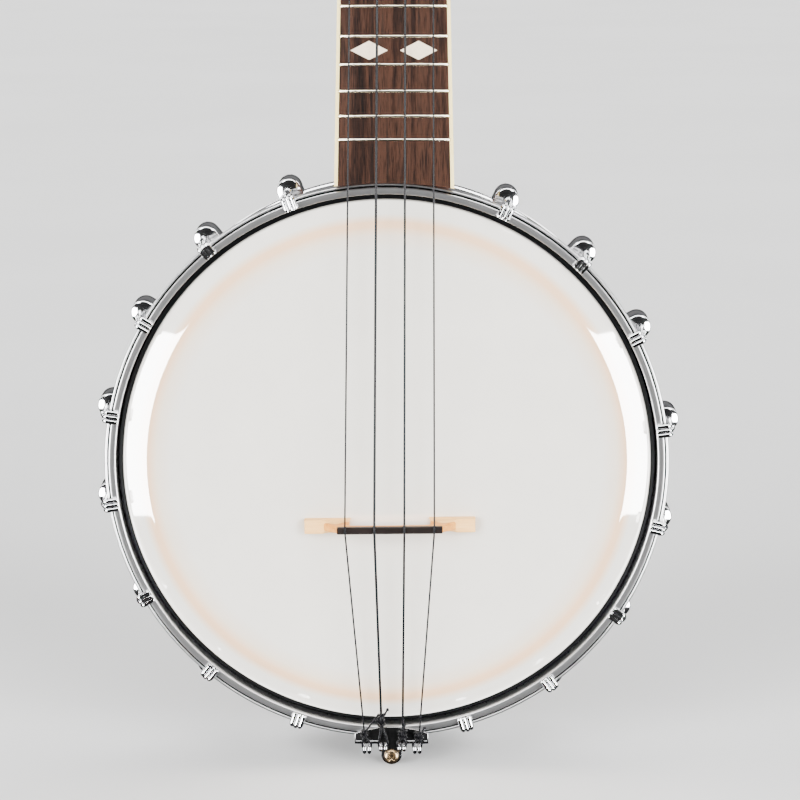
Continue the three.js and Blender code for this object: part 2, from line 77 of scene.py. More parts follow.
NUT_LOW, NUT_HIGH = extent("nut")
NUT_Z = NUT_LOW.z
NECK_X = (NUT_LOW.x + NUT_HIGH.x) / 2
BRIDGE_LOW, BRIDGE_HIGH = extent("bridge")
BRIDGE_Z = (BRIDGE_LOW.z + BRIDGE_HIGH.z) / 2
BRIDGE_X = (BRIDGE_LOW.x + BRIDGE_HIGH.x) / 2
SCALE_LENGTH = NUT_Z - BRIDGE_Z
TAIL_X = sum(corner.x for corner in extent("tailpiece_screw")) / 2

# ---- driving dimensions, in millimetres

RIM_INNER, RIM_OUTER, RIM_BACK = 88.4, 99.9, 58.3
CREST = 90.7
SLOPE_END = 99.5
CLAD_OUTER, CLAD_FRONT, CLAD_BACK, CLAD_BEAD = 101.05, 6.2, 58.0, 102.4
HOOP_INNER, HOOP_OUTER, HOOP_FRONT, HOOP_BACK = 102.1, 106.2, -0.8, 6.4
GROOVE_INNER, GROOVE_OUTER = 104.74, 105.16
FLESH_INNER, FLESH_OUTER, FLESH_FRONT, FLESH_BACK = 101.9, 105.2, 6.8, 10.6

HOOK_ANGLES = [25, 44, 63, 83, 103.5, 124, 144, 163.5, -161, -140, -119.5, -98.5, -80, -59.5, -39.5, -20]
ROD_CENTRE, ROD_RADIUS = 107.95, 1.45
CLAW_INNER, CLAW_UNDER, CLAW_THICK, CLAW_HALF = 102.35, -1.1, 1.8, 2.65
SHOE_BASE, SHOE_CENTRE, SHOE_RADIUS, SHOE_FRONT, SHOE_BACK = 101.5, 107.35, 4.6, 20.0, 36.0
SHOE_STEPS = 72
SIDES = ((-1, "left"), (1, "right"))

BOARD_FRONT, BOARD_BACK, BOARD_END, BOARD_SCOOP = -7.0, -1.5, 106.9, 149.0
BOARD_HALF_AT_NUT, BOARD_TAPER = 17.55, 0.0215
BINDING = 1.3
FRETS = 15
NECK_FRONT = -1.2
TILT = radians(12)
HEAD_Z = NUT_Z + 4.4
HEAD_THICK, HEAD_LENGTH = 13.0, 106.0
VENEER = 1.6
HEEL_CAP_BACK, HEEL_CAP_THICK = 54.0, 1.6

POST_U, POST_RISE, POST_RADIUS = 14.5, 9.0, 3.0
WORM_DROP, WORM_DEPTH = 7.3, 19.0
PLATE_BACK = 14.5
STRINGS = {
    "g": {"radius": 0.33, "side": -1, "v": 30, "bridge": -15.63, "edge": (-8.8, -103.6), "tail": -7.85,
          "knot": (1.6, 1.0), "end": (-3.6, -4.6, -96.6)},
    "c": {"radius": 0.48, "side": -1, "v": 66, "bridge": -4.63, "edge": (-2.3, -98.4), "tail": -1.65,
          "knot": (3.1, 1.35), "end": (0.1, -4.9, -94.3)},
    "e": {"radius": 0.42, "side": 1, "v": 66, "bridge": 6.62, "edge": (5.8, -104.2), "tail": 5.45,
          "knot": (1.9, 1.35), "end": (6.7, -4.8, -100.2)},
    "a": {"radius": 0.33, "side": 1, "v": 30, "bridge": 17.87, "edge": (12.1, -104.6), "tail": 11.35,
          "knot": (1.9, 1.35), "end": (14.1, -4.6, -101.6)},
}
NUT_SPREAD = 9.47


def board_half(z):
    return BOARD_HALF_AT_NUT + BOARD_TAPER * (NUT_Z - z)


def fret_z(number):
    return BRIDGE_Z + SCALE_LENGTH * 2 ** (-number / 12)


# ---- outlines

def arc(x, z, radius, start, end, steps):
    """Points on an arc, from start to end in degrees."""
    angles = [radians(start + (end - start) * i / steps) for i in range(steps + 1)]
    return [(x + radius * cos(t), z + radius * sin(t)) for t in angles]


def rounded(points, radius, steps=4):
    """A polygon with every corner rounded by about radius, less where a side is short."""
    result = []
    for i, corner in enumerate(points):
        here = Vector(corner)
        before, after = Vector(points[i - 1]) - here, Vector(points[(i + 1) % len(points)]) - here
        reach = min(radius, before.length * 0.45, after.length * 0.45)
        start, end = here + before.normalized() * reach, here + after.normalized() * reach
        for k in range(steps + 1):
            t = k / steps
            result.append(tuple(start * (1 - t) ** 2 + here * 2 * t * (1 - t) + end * t * t))
    return result


def mirrored(points):
    """The points' mirror images across X zero, in reverse order."""
    return [(-x, y) for x, y in reversed(points)]


def area(outline):
    """The area within an outline, above zero if it runs from X towards its second axis."""
    return sum(a[0] * b[1] - b[0] * a[1] for a, b in zip(outline, outline[1:] + outline[:1])) / 2


def inset(outline, distance):
    """The outline moved inwards by distance."""
    inward = 1 if area(outline) > 0 else -1
    result = []
    for i, point in enumerate(outline):
        along = [Vector(point) - Vector(outline[i - 1]), Vector(outline[(i + 1) % len(outline)]) - Vector(point)]
        normals = [Vector((-a.y, a.x)).normalized() for a in along if a.length > 1e-9]
        normal = sum(normals, Vector((0, 0)))
        miter = distance / max(normal.length_squared / 2, 0.5) if len(normals) == 2 else distance
        result.append(tuple(Vector(point) + normal * miter * inward))
    return result


def resample(outline, count):
    """The outline as count points at equal steps along it, from its first point."""
    sides = [(Vector(b) - Vector(a)).length for a, b in zip(outline, outline[1:] + outline[:1])]
    total, result, side, passed = sum(sides), [], 0, 0.0
    for i in range(count):
        while passed + sides[side] < total * i / count:
            passed += sides[side]
            side += 1
        t = (total * i / count - passed) / sides[side]
        result.append(tuple(Vector(outline[side]).lerp(Vector(outline[(side + 1) % len(outline)]), t)))
    return result


def lerp(a, b, t):
    return a + (b - a) * t


def smooth(t):
    t = min(max(t, 0.0), 1.0)
    return t * t * (3 - 2 * t)


# ---- surfaces: (vertices, faces)

def skin(rings, loop=False):
    """A surface through rings that all have the same number of points, capped unless it is a loop."""
    count = len(rings[0])
    faces = []
    for a in range(len(rings) if loop else len(rings) - 1):
        b = (a + 1) % len(rings)
        for i in range(count):
            j = (i + 1) % count
            faces.append((a * count + i, a * count + j, b * count + j, b * count + i))
    if not loop:
        faces.append(tuple(reversed(range(count))))
        faces.append(tuple(range((len(rings) - 1) * count, len(rings) * count)))
    return [Vector(p) for ring in rings for p in ring], faces


def merge(*surfaces):
    verts, faces = [], []
    for more_verts, more_faces in surfaces:
        start = len(verts)
        verts.extend(more_verts)
        faces.extend(tuple(i + start for i in face) for face in more_faces)
    return verts, faces


def moved(surface, matrix):
    return [matrix @ Vector(v) for v in surface[0]], surface[1]


def shift(x, y, z):
    return Matrix.Translation((x, y, z))


def spin(angle, axis):
    return Matrix.Rotation(angle, 4, axis)


def turns(count, start=0):
    """The angles of count equal steps round a circle, the first start steps on from zero."""
    return [2 * pi * (i + start) / count for i in range(count)]


def lathe(section, segments=192):
    """A section of (radius, y) turned about the Y axis. One that starts on the axis gets caps there."""
    rings = [[(r * sin(t), y, r * cos(t)) for t in turns(segments)] for r, y in section]
    return skin(rings, loop=section[0][0] > AXIS)


def plug(radius, front, back):
    """A solid cylinder about the pot's axis, to cut with."""
    return lathe([(AXIS, front), (radius, front), (radius, back), (AXIS, back)], 256)


def prism(outline, low, high, edge, axis="y", steps=3):
    """An outline drawn out along Y (an outline of x, z) or X (of y, z), with rounded edges."""
    edge = min(edge, (high - low) / 2)
    levels = [(edge * (1 - sin(pi / 2 * k / steps)), edge * (1 - cos(pi / 2 * k / steps)))
              for k in range(steps + 1)]
    levels = [(inward, low + rise) for inward, rise in levels] \
        + [(inward, high - rise) for inward, rise in reversed(levels)]
    rings = []
    for inward, depth in levels:
        loop = inset(outline, inward)
        rings.append([(a, depth, b) if axis == "y" else (depth, a, b) for a, b in loop])
    return skin(rings)


def tube(points, radius, sides):
    """A round tube along points. radius is a number, or one for each point."""
    points = [Vector(p) for p in points]
    radii = radius if isinstance(radius, list) else [radius] * len(points)
    rings, side = [], None
    for i, point in enumerate(points):
        ahead = (points[min(i + 1, len(points) - 1)] - points[max(i - 1, 0)]).normalized()
        if side is None:
            side = ahead.orthogonal().normalized()
        side = (side - ahead * side.dot(ahead)).normalized()
        up = ahead.cross(side)
        rings.append([point + (side * cos(t) + up * sin(t)) * radii[i] for t in turns(sides)])
    return skin(rings)


def threaded(radius, start, end, pitch, depth, sides=20):
    """A screw thread along Y."""
    steps = int((end - start) / pitch * 6)
    rings = []
    for k in range(steps + 1):
        y = lerp(start, end, k / steps)
        fade = smooth(min(k, steps - k) / 6)
        rings.append([])
        for i, t in enumerate(turns(sides)):
            phase = (y / pitch + i / sides) % 1
            r = radius - depth * abs(2 * phase - 1) * fade
            rings[-1].append((r * cos(t), y, r * sin(t)))
    return skin(rings)


def hex_nut(radius, start, end, chamfer=0.5):
    """A hexagonal nut along Y, its corners turned off at both ends."""
    rings = []
    for inward, y in [(chamfer * 1.9, start), (0, start + chamfer), (0, end - chamfer), (chamfer * 1.9, end)]:
        rings.append([])
        for t in turns(60):
            flat = radius * cos(pi / 6) / cos((t + pi / 6) % (pi / 3) - pi / 6)
            r = min(flat, radius - inward)
            rings[-1].append((r * sin(t), y, r * cos(t)))
    return skin(rings)


# ---- pieces

def shade(mesh, sharp):
    """Smooth shading, with the edges over sharp degrees kept crisp, and faces turned outwards."""
    work = bmesh.new()
    work.from_mesh(mesh)
    bmesh.ops.remove_doubles(work, verts=work.verts, dist=2e-7)
    bmesh.ops.recalc_face_normals(work, faces=work.faces)
    for face in work.faces:
        face.smooth = True
    for edge in work.edges:
        edge.smooth = len(edge.link_faces) != 2 or edge.calc_face_angle(0) < radians(sharp)
    work.to_mesh(mesh)
    work.free()


def add_object(name, data):
    made = bpy.data.objects.new(name, data)
    bpy.context.scene.collection.objects.link(made)
    return made


def in_frame(name, surface, sharp):
    """An object of a surface given in millimetres about the pot's centre."""
    mesh = bpy.data.meshes.new(name)
    mesh.from_pydata([TO_FRAME @ Vector(v) for v in surface[0]], [], surface[1])
    shade(mesh, sharp)
    return add_object(name, mesh)


def piece(name, surface, material, body="instrument", cad="", sharp=35):
    """One piece, made in millimetres about the pot's centre, in place of the CAD node cad if that is given."""
    made = in_frame(name, surface, sharp)
    made.data.materials.append(material)
    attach(made, body)
    if cad:
        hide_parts(cad)
    return made


def ring_of_pieces(name, surface, material, cad="", sharp=35):
    """A copy of one piece at each hook."""
    for i, angle in enumerate(HOOK_ANGLES):
        number = "_%02d" % (i + 1)
        piece(name + number, moved(surface, spin(radians(angle), "Y")), material, cad=cad and cad + number,
              sharp=sharp)


def carve(made, *cutters):
    """Cuts the cutters' surfaces, in millimetres about the pot's centre, out of a piece."""
    for cutter in cutters:
        tool = in_frame("cutter", cutter, 180)
        cut = made.modifiers.new("cut", "BOOLEAN")
        cut.object, cut.operation, cut.solver = tool, "DIFFERENCE", "EXACT"
        bpy.context.view_layer.update()
        result = bpy.data.meshes.new_from_object(made.evaluated_get(bpy.context.evaluated_depsgraph_get()))
        made.modifiers.remove(cut)
        made.data = result
        bpy.data.objects.remove(tool)


# ---- materials

def feed(tree, shader, inputs):
    """Links each input that is given as a socket, and sets any other."""
    for key, value in inputs.items():
        if isinstance(value, bpy.types.NodeSocket):
            tree.links.new(value, shader.inputs[key])
        else:
            shader.inputs[key].default_value = value


def node(tree, kind, inputs=None, **settings):
    """Adds a shader node with its settings and inputs."""
    made = tree.nodes.new(kind)
    for key, value in settings.items():
        setattr(made, key, value)
    feed(tree, made, inputs or {})
    return made


def ramp(tree, factor, stops):
    """A colour ramp through (position, colour) stops."""
    made = node(tree, "ShaderNodeValToRGB", {"Fac": factor})
    band = made.color_ramp
    while len(band.elements) < len(stops):
        band.elements.new(0.5)
    for element, (position, colour) in zip(band.elements, stops):
        element.position, element.color = position, (*colour, 1)
    return made.outputs["Color"]


def blank(name):
    """A material, its node tree and its Principled shader."""
    material = bpy.data.materials.new(name)
    material.use_nodes = True
    return material, material.node_tree, material.node_tree.nodes["Principled BSDF"]


def coordinates(tree, scale=(1, 1, 1), across=0.0):
    """Object coordinates about the pot's centre, in millimetres times scale, less across along X."""
    texture = node(tree, "ShaderNodeTexCoord")
    mapping = node(tree, "ShaderNodeMapping", {
        "Vector": texture.outputs["Object"],
        "Location": [(-c / MM - a) * s for c, a, s in zip(CENTRE, (across, 0, 0), scale)],
        "Scale": [s / MM for s in scale],
    })
    return mapping.outputs["Vector"]


def noise(tree, vector, scale, detail=4.0, roughness=0.5, distortion=0.0):
    return node(tree, "ShaderNodeTexNoise", {
        "Vector": vector, "Scale": scale, "Detail": detail, "Roughness": roughness, "Distortion": distortion,
    }).outputs["Fac"]


def between(tree, factor, low, high, start=0.0, end=1.0):
    """Takes factor from the range start to end over to the range low to high."""
    return node(tree, "ShaderNodeMapRange", {"Value": factor, "From Min": start, "From Max": end, "To Min": low,
                                             "To Max": high}).outputs["Result"]


def calculate(tree, operation, *values):
    return node(tree, "ShaderNodeMath", dict(enumerate(values)), operation=operation).outputs["Value"]


def multiply(tree, a, b):
    return node(tree, "ShaderNodeMix", {"Factor": 1.0, "A": a, "B": b}, data_type="RGBA",
                blend_type="MULTIPLY").outputs["Result"]


def bump(tree, shader, height, strength, distance):
    made = node(tree, "ShaderNodeBump", {"Height": height, "Strength": strength, "Distance": distance * MM})
    feed(tree, shader, {"Normal": made.outputs["Normal"]})


def metal(name, tone, rough_low, rough_high, grain=0.9, painted_groove_shade=None):
    """Plated metal with faint cloudiness, tiny ripples in its polish and, between the radii given for a groove,
    painted shade that darkens the groove's bottom.
    """
    material, tree, shader = blank(name)
    place = coordinates(tree)
    colour = ramp(tree, noise(tree, place, 0.16, 5), [(0.35, tuple(c * 0.93 for c in tone)), (0.62, tone)])
    # Painted shade: the colour goes near black between the given radii, for the bottom of a groove.
    if painted_groove_shade:
        low, high = painted_groove_shade
        share = between(tree, from_axis(tree), 0.0, 1.0, low - 1, high + 1)
        start, end = 1 / (high - low + 2), (high - low + 1) / (high - low + 2)
        clear, dark = (1, 1, 1), (0.02, 0.02, 0.02)
        groove_shade = ramp(tree, share, [(start - 0.02, clear), (start, dark), (end, dark), (end + 0.02, clear)])
        colour = multiply(tree, colour, groove_shade)
    rough = between(tree, noise(tree, place, grain, 6, 0.65), rough_low, rough_high)
    feed(tree, shader, {"Base Color": colour, "Metallic": 1.0, "Roughness": rough})
    bump(tree, shader, noise(tree, place, 0.35, 3), 0.03, 0.4)
    return material


def timber(name, stops, stretch, rough, coat, relief, scale=1.0, pores=0.0, across=0.0, *, gloss):
    """Wood with long grain. stretch is the scale along X, Y and Z, least along the grain, and pores their depth
    of colour."""
    material, tree, shader = blank(name)
    place = coordinates(tree, stretch, across)
    broad = noise(tree, place, 0.22 * scale, 5, 0.55, 0.9)
    streak = noise(tree, place, 1.3 * scale, 6, 0.7, 0.4)
    blend = node(tree, "ShaderNodeMix", {"Factor": 0.42, "A": broad, "B": streak}, data_type="FLOAT")
    colour = ramp(tree, blend.outputs["Result"], stops)
    if pores:
        dash = noise(tree, place, 3.4 * scale, 2, 0.6)
        colour = multiply(tree, colour, ramp(tree, dash, [(0.36, (1 - pores,) * 3), (0.46, (1, 1, 1))]))
    feed(tree, shader, {"Base Color": colour, "Roughness": between(tree, streak, rough - 0.08, rough + 0.1),
                        "Specular IOR Level": gloss, "Coat Weight": coat, "Coat Roughness": 0.18})
    bump(tree, shader, noise(tree, place, 4.5 * scale, 3, 0.6), relief, 0.12)
    return material


def from_axis(tree):
    """Distance from the pot's axis, in millimetres."""
    parts = node(tree, "ShaderNodeSeparateXYZ", {"Vector": coordinates(tree)})
    flat = node(tree, "ShaderNodeCombineXYZ", {"X": parts.outputs["X"], "Z": parts.outputs["Z"]})
    away = node(tree, "ShaderNodeVectorMath", {"Vector": flat.outputs["Vector"]}, operation="LENGTH")
    return away.outputs["Value"]


def laminated(name):
    """The rim's bent plies: maple rings with dark glue lines, under satin varnish."""
    material, tree, shader = blank(name)
    ply_thickness = 2.3
    part = calculate(tree, "FRACT", calculate(tree, "DIVIDE", from_axis(tree), ply_thickness))
    line = ramp(tree, part, [(0.0, (0.05, 0.02, 0.008)), (0.12, (0.06, 0.025, 0.01)), (0.17, (0.42, 0.21, 0.085)),
                             (0.9, (0.3, 0.135, 0.05))])
    grain = noise(tree, coordinates(tree, (0.5, 1.6, 0.5)), 0.9, 6, 0.6, 0.5)
    shadow = ramp(tree, grain, [(0.3, (0.55, 0.5, 0.45)), (0.65, (1.0, 1.0, 1.0))])
    feed(tree, shader, {"Base Color": multiply(tree, line, shadow), "Roughness": between(tree, grain, 0.28, 0.45),
                        "Coat Weight": 0.3})
    bump(tree, shader, grain, 0.08, 0.1)
    return material


def frosted(name):
    """Frosted white film, with painted light: a warm glow painted where the wooden bearing edge shows through it;
    and painted shade, near black, past its slope.
    """
    material, tree, shader = blank(name)
    radius = from_axis(tree)
    widest, slope, collar = 106.0, 99.45, 99.65
    white, painted_glow = (0.86, 0.825, 0.755), (0.95, 0.63, 0.39)
    # Painted light: the warm band round the bearing edge stands in for light that comes back through the film off
    # the wood.
    stops = [(0.0, white), (81, white), (86.6, (0.88, 0.76, 0.63)), (89.9, painted_glow), (91.6, painted_glow), (94.5, white),
             # Painted shade: from the collar radius out, the film is painted near black for the deep gap by the
             # hoop.
             (slope, white), (collar, (0.0015, 0.0017, 0.002))]
    band = ramp(tree, calculate(tree, "DIVIDE", radius, widest), [(r / widest, tone) for r, tone in stops])
    place = coordinates(tree)
    mottle = ramp(tree, noise(tree, place, 0.05, 5, 0.6), [(0.3, (0.95, 0.95, 0.95)), (0.7, (1, 1, 1))])
    speckle = noise(tree, place, 2.2, 4, 0.7)
    feed(tree, shader, {"Base Color": multiply(tree, band, mottle), "Roughness": between(tree, speckle, 0.38, 0.5),
                        "Coat Weight": between(tree, radius, 1.0, 0.0, slope, collar),
                        "Specular IOR Level": 0.1, "Coat IOR": 2.7, "Coat Roughness": 0.04})
    bump(tree, shader, speckle, 0.12, 0.06)
    return material


def pearl(name, light, dark, scale):
    """Pearly plastic with clouded depths."""
    material, tree, shader = blank(name)
    place = coordinates(tree)
    swirl = noise(tree, place, scale, 5, 0.6, 2.2)
    colour = ramp(tree, swirl, [(0.32, dark), (0.5, light), (0.66, tuple(c * 0.9 for c in light))])
    feed(tree, shader, {"Base Color": colour, "Roughness": between(tree, swirl, 0.14, 0.3), "Coat Weight": 0.6,
                        "Coat Roughness": 0.08})
    bump(tree, shader, noise(tree, place, 3.0), 0.03, 0.05)
    return material


def plastic(name, light, dark, rough, scale, relief, gloss=0.5):
    """Moulded plastic, bone or string with slight variation."""
    material, tree, shader = blank(name)
    place = coordinates(tree)
    colour = ramp(tree, noise(tree, place, scale, 5, 0.6), [(0.3, dark), (0.7, light)])
    wear = between(tree, noise(tree, place, scale * 6), rough - 0.08, rough + 0.1)
    feed(tree, shader, {"Base Color": colour, "Roughness": wear, "Specular IOR Level": gloss})
    bump(tree, shader, noise(tree, place, scale * 9), relief, 0.05)
    return material


CHROME = metal("chrome_plate", (0.83, 0.83, 0.84), 0.05, 0.13)
# The hoop's groove bottom is darkened with painted shade.
HOOP_METAL = metal("hoop_plate", (0.66, 0.66, 0.665), 0.27, 0.3, 5.0,
                   painted_groove_shade=(GROOVE_INNER - 0.02, GROOVE_OUTER + 0.02))
TAIL_METAL = metal("tail_plate", (0.3, 0.3, 0.305), 0.13, 0.2)
STEEL = metal("steel_rod", (0.62, 0.62, 0.63), 0.22, 0.36)
BRASS = metal("brass_gear", (0.78, 0.58, 0.27), 0.2, 0.34)
FRET_METAL = metal("fret_nickel", (0.95, 0.88, 0.72), 0.14, 0.24)
BRONZE = metal("screw_bronze", (0.26, 0.18, 0.1), 0.2, 0.32)
RIM_WOOD = laminated("rim_plies")
FILM = frosted("head_film")
ROSEWOOD = timber("rosewood", [(0.36, (0.004, 0.0026, 0.0022)), (0.46, (0.016, 0.0065, 0.004)),
                               (0.54, (0.045, 0.0185, 0.0105)), (0.63, (0.019, 0.0093, 0.0062)),
                               (0.72, (0.007, 0.004, 0.003))],
                  (1.0, 1.0, 0.05), 0.5, 0.0, 0.35, pores=0.7, gloss=0.08, across=6.5)
MAHOGANY = timber("mahogany", [(0.3, (0.05, 0.013, 0.006)), (0.5, (0.12, 0.035, 0.015)),
                               (0.7, (0.18, 0.06, 0.026))],
                  (1.0, 1.0, 0.06), 0.36, 0.2, 0.12, gloss=0.2)
MAPLE = timber("bridge_maple", [(0.3, (0.55, 0.19, 0.035)), (0.5, (0.76, 0.31, 0.06)), (0.7, (0.86, 0.42, 0.1))],
               (0.12, 1.0, 1.0), 0.45, 0.0, 0.1, 1.6, gloss=0.1)
PALE_MAPLE = timber("pale_maple", [(0.3, (0.7, 0.36, 0.12)), (0.5, (0.88, 0.5, 0.175)), (0.7, (0.94, 0.59, 0.24))],
                    (0.12, 1.0, 1.0), 0.45, 0.0, 0.1, 1.6, gloss=0.1)
EBONY = timber("ebony", [(0.35, (0.004, 0.0028, 0.0024)), (0.65, (0.013, 0.0088, 0.0076))],
               (0.1, 1.0, 1.0), 0.42, 0.0, 0.1, gloss=0.08)
CREAM = plastic("cream_binding", (0.95, 0.78, 0.34), (0.9, 0.7, 0.28), 0.32, 0.2, 0.03)
BONE = plastic("bone_nut", (0.85, 0.79, 0.64), (0.77, 0.69, 0.53), 0.34, 0.3, 0.05)
INLAY = pearl("inlay_pearl", (0.9, 0.75, 0.55), (0.74, 0.61, 0.46), 0.35)
BUTTON = pearl("button_pearl", (0.83, 0.8, 0.72), (0.66, 0.63, 0.55), 0.22)
NYLON = plastic("string_nylon", (0.006, 0.006, 0.007), (0.003, 0.003, 0.004), 0.26, 0.8, 0.05, gloss=0.11)

# ---- the pot

def make_rim():
    """The laminated ring, its front drawn up to the bearing edge under the film."""
    section = rounded([(RIM_INNER, RIM_BACK), (RIM_OUTER, RIM_BACK), (RIM_OUTER, 7.2), (98.9, 4.6),
                       (CREST + 0.6, 1.15), (CREST - 0.8, 0.85), (RIM_INNER, 3.1)], 0.9)
    piece("rim", lathe(section), RIM_WOOD, cad="rim_shell")


def make_cladding():
    """The plated skin, its back edge rolled into a bead."""
    bead = 1.45
    centre_r, centre_y = CLAD_BEAD - bead, CLAD_BACK - bead
    roll = arc(centre_r, centre_y, bead, -75, 100, 14)
    section = [(CLAD_OUTER - 0.85, CLAD_FRONT), (CLAD_OUTER, CLAD_FRONT + 0.2), (CLAD_OUTER, centre_y - 2.2),
               *roll, (CLAD_OUTER - 0.85, CLAD_BACK)]
    piece("rim_skin", lathe(section), CHROME, cad="rim_cladding", sharp=50)


def make_head():
    """The film, curving over the bearing edge and down its slope, and the metal flesh hoop on its edge."""
    crown = [(AXIS, 0.0), (30, 0.0), (60, 0.0), (80, 0.0), (CREST - 2.2, 0.0)]
    bend = [(CREST - 1.2, 0.05), (CREST - 0.3, 0.18), (CREST + 0.6, 0.45)]
    slope = [(CREST + 2.2, 1.02), (CREST + 4.8, 1.96), (SLOPE_END - 1.1, 3.05)]
    turn = [(SLOPE_END - 0.4, 3.32), (SLOPE_END - 0.1, 3.6), (SLOPE_END + 0.05, 4.1), (SLOPE_END + 0.12, 4.8)]
    collar = [(SLOPE_END + 0.35, 5.35), (100.6, 5.7), (101.25, 5.85), (101.55, 6.4), (101.6, 9.5),
              (FLESH_INNER + 0.2, 9.9), (FLESH_INNER + 0.8, 9.9)]
    outside = [*crown, *bend, *slope, *turn, *collar]
    inside = [(r - 0.25 if r > CREST else r, y + 0.4) for r, y in reversed(outside)]
    piece("head_film", lathe(outside + inside), FILM, cad="drumhead", sharp=60)
    band = rounded([(FLESH_INNER, FLESH_FRONT), (FLESH_OUTER, FLESH_FRONT), (FLESH_OUTER, FLESH_BACK),
                    (FLESH_INNER, FLESH_BACK)], 0.9)
    piece("flesh_hoop", lathe(band), STEEL)


def make_hoop():
    """The tension hoop: a flat band, and outside it a fine groove and a rounded bead."""
    edge = arc(GROOVE_INNER - 0.42, HOOP_FRONT + 0.4, 0.4, -90, 0, 5)
    bead = arc(HOOP_OUTER - 0.5, HOOP_FRONT + 0.8, 0.5, -170, 0, 12)
    groove = HOOP_FRONT + 0.9
    section = [(HOOP_INNER, HOOP_BACK), (HOOP_INNER, HOOP_FRONT + 0.3), (HOOP_INNER + 0.09, HOOP_FRONT + 0.09),
               (HOOP_INNER + 0.3, HOOP_FRONT), *edge, (GROOVE_INNER, groove), (GROOVE_OUTER, groove), *bead,
               (HOOP_OUTER, HOOP_BACK - 0.5), (HOOP_OUTER - 0.5, HOOP_BACK)]
    piece("tension_hoop_band", lathe(section, 256), HOOP_METAL, cad="tension_hoop", sharp=50)


def claw_outline():
    """Across the claw, from its bottom centre: a round rib between two round side lobes."""
    side = [(1.72 + 0.93 * cos(t), 0.75 + 0.93 * sin(t)) for t in [pi * (k / 9 - 0.12) for k in range(10)]]
    rib = [(0.72 * cos(t), 1.02 + 0.72 * sin(t)) for t in [pi * (0.02 + 0.42 * k / 5) for k in range(6)]]
    half = [(CLAW_HALF - 0.3, 0.0), *side, (0.82, 0.6), *rib]
    points = [(0.0, 0.0), *half, (0.0, 1.76), *mirrored(half)]
    return resample(points, 96)


def make_hooks():
    """Each hook's claw bends over the hoop and draws down to a round rod with a thread on its end."""
    lobes = claw_outline()
    reach = ROD_CENTRE - ROD_RADIUS
    rod_round = [(ROD_RADIUS * cos(t), ROD_RADIUS + ROD_RADIUS * sin(t))
                 for t in turns(len(lobes), -len(lobes) / 4)]

    def ring(z, y, turn, change, shrink=1.0):
        """A cross-section standing on (y, z), turned from facing front (0) to facing outwards (90 degrees)."""
        result = []
        for lobe, rod in zip(lobes, rod_round):
            x, h = lerp(lobe[0], rod[0], change) * shrink, lerp(lobe[1], rod[1], change)
            h = lerp(CLAW_THICK / 2, h, shrink)
            result.append((x, y - h * cos(turn), z + h * sin(turn)))
        return result

    rings = [ring(CLAW_INNER, CLAW_UNDER, 0, 0, 0.86), ring(CLAW_INNER + 0.12, CLAW_UNDER, 0, 0, 0.95),
             ring(CLAW_INNER + 0.35, CLAW_UNDER, 0, 0)]
    rings += [ring(lerp(CLAW_INNER + 0.35, reach, k / 6), CLAW_UNDER, 0, 0) for k in range(1, 7)]
    rings += [ring(reach, CLAW_UNDER, pi / 2 * k / 8, 0.25 * k / 8) for k in range(1, 9)]
    rings += [ring(reach, CLAW_UNDER + 4.5 * k / 6, pi / 2, lerp(0.25, 1, smooth(k / 6))) for k in range(1, 7)]
    rings += [ring(reach, y, pi / 2, 1) for y in (12, 20, 28, 34)]
    tip = lathe([(AXIS, 48), (0.9, 48), (1.15, 47.55), (AXIS, 47.55)], 20)
    end = moved(merge(threaded(ROD_RADIUS, 34, 47.6, 0.75, 0.26), tip), shift(0, 0, ROD_CENTRE))
    ring_of_pieces("hook", merge(skin(rings), end), CHROME, cad="tension_hook", sharp=32)
    washer = lathe([(1.6, 36.15), (3.9, 36.15), (3.9, 36.65), (1.6, 36.65)], 40)
    nut = merge(hex_nut(3.6, SHOE_BACK + 0.7, 41.3), washer)
    ring_of_pieces("tension_nut", moved(nut, shift(0, 0, ROD_CENTRE)), CHROME)


def shoe_outline(margin, base_margin):
    """The shoe's D-shape seen from the front, smaller all round by margin, as points round the rod's hole."""
    base, radius = SHOE_BASE + base_margin, SHOE_RADIUS - margin
    points = []
    for t in turns(SHOE_STEPS, 0.5):
        sway, rise = cos(t), sin(t)
        drop = ROD_CENTRE - SHOE_CENTRE
        out = -drop * rise + sqrt(max(radius ** 2 - (drop * sway) ** 2, 0))
        if rise * out + drop < 0:
            out = min(radius / max(abs(sway), 1e-6), (base - ROD_CENTRE) / rise if rise < 0 else 1e6)
        points.append((out * sway, ROD_CENTRE + out * rise))
    return points


def make_shoes():
    """Each shoe is a D-shaped block with softened edges and a collared hole for its hook."""
    def round_hole(radius, y):
        return [(radius * cos(t), y, ROD_CENTRE + radius * sin(t)) for t in turns(SHOE_STEPS, 0.5)]

    dome = [lerp(1.7, SHOE_RADIUS - 0.3, k / 10) for k in range(11)]
    levels = [(SHOE_RADIUS - reach, reach ** 2 / 20 - 0.13) for reach in dome]
    levels += [(0.17, 0.9), (0.06, 1.05), (0.0, 1.3)]
    rings = [round_hole(1.53, SHOE_FRONT + 1.5), round_hole(1.53, SHOE_FRONT + 0.1), round_hole(1.6, SHOE_FRONT)]
    rings += [[(x, SHOE_FRONT + rise, z) for x, z in shoe_outline(margin, margin * 0.3)] for margin, rise in levels]
    rings += [[(x, SHOE_BACK - rise * 0.5, z) for x, z in shoe_outline(margin * 0.5, margin * 0.15)]
              for margin, rise in reversed(levels)]
    rings += [round_hole(1.53, SHOE_BACK)]
    ring_of_pieces("shoe", skin(rings, loop=True), CHROME, cad="hook_shoe", sharp=40)


def make_shoe_bolts():
    """Inside the rim, a washer and a low round bolt head behind each shoe."""
    dome = [(AXIS, -2.4), (1.2, -2.3), (2.2, -1.9), (2.9, -1.2), (3.1, -0.6), (3.1, -0.55), (4.6, -0.55),
            (4.6, -0.1), (AXIS, -0.1)]
    turn = shift(0, (SHOE_FRONT + SHOE_BACK) / 2, RIM_INNER) @ spin(pi / 2, "X")
    ring_of_pieces("shoe_bolt", moved(lathe(dome, 48), turn), STEEL)


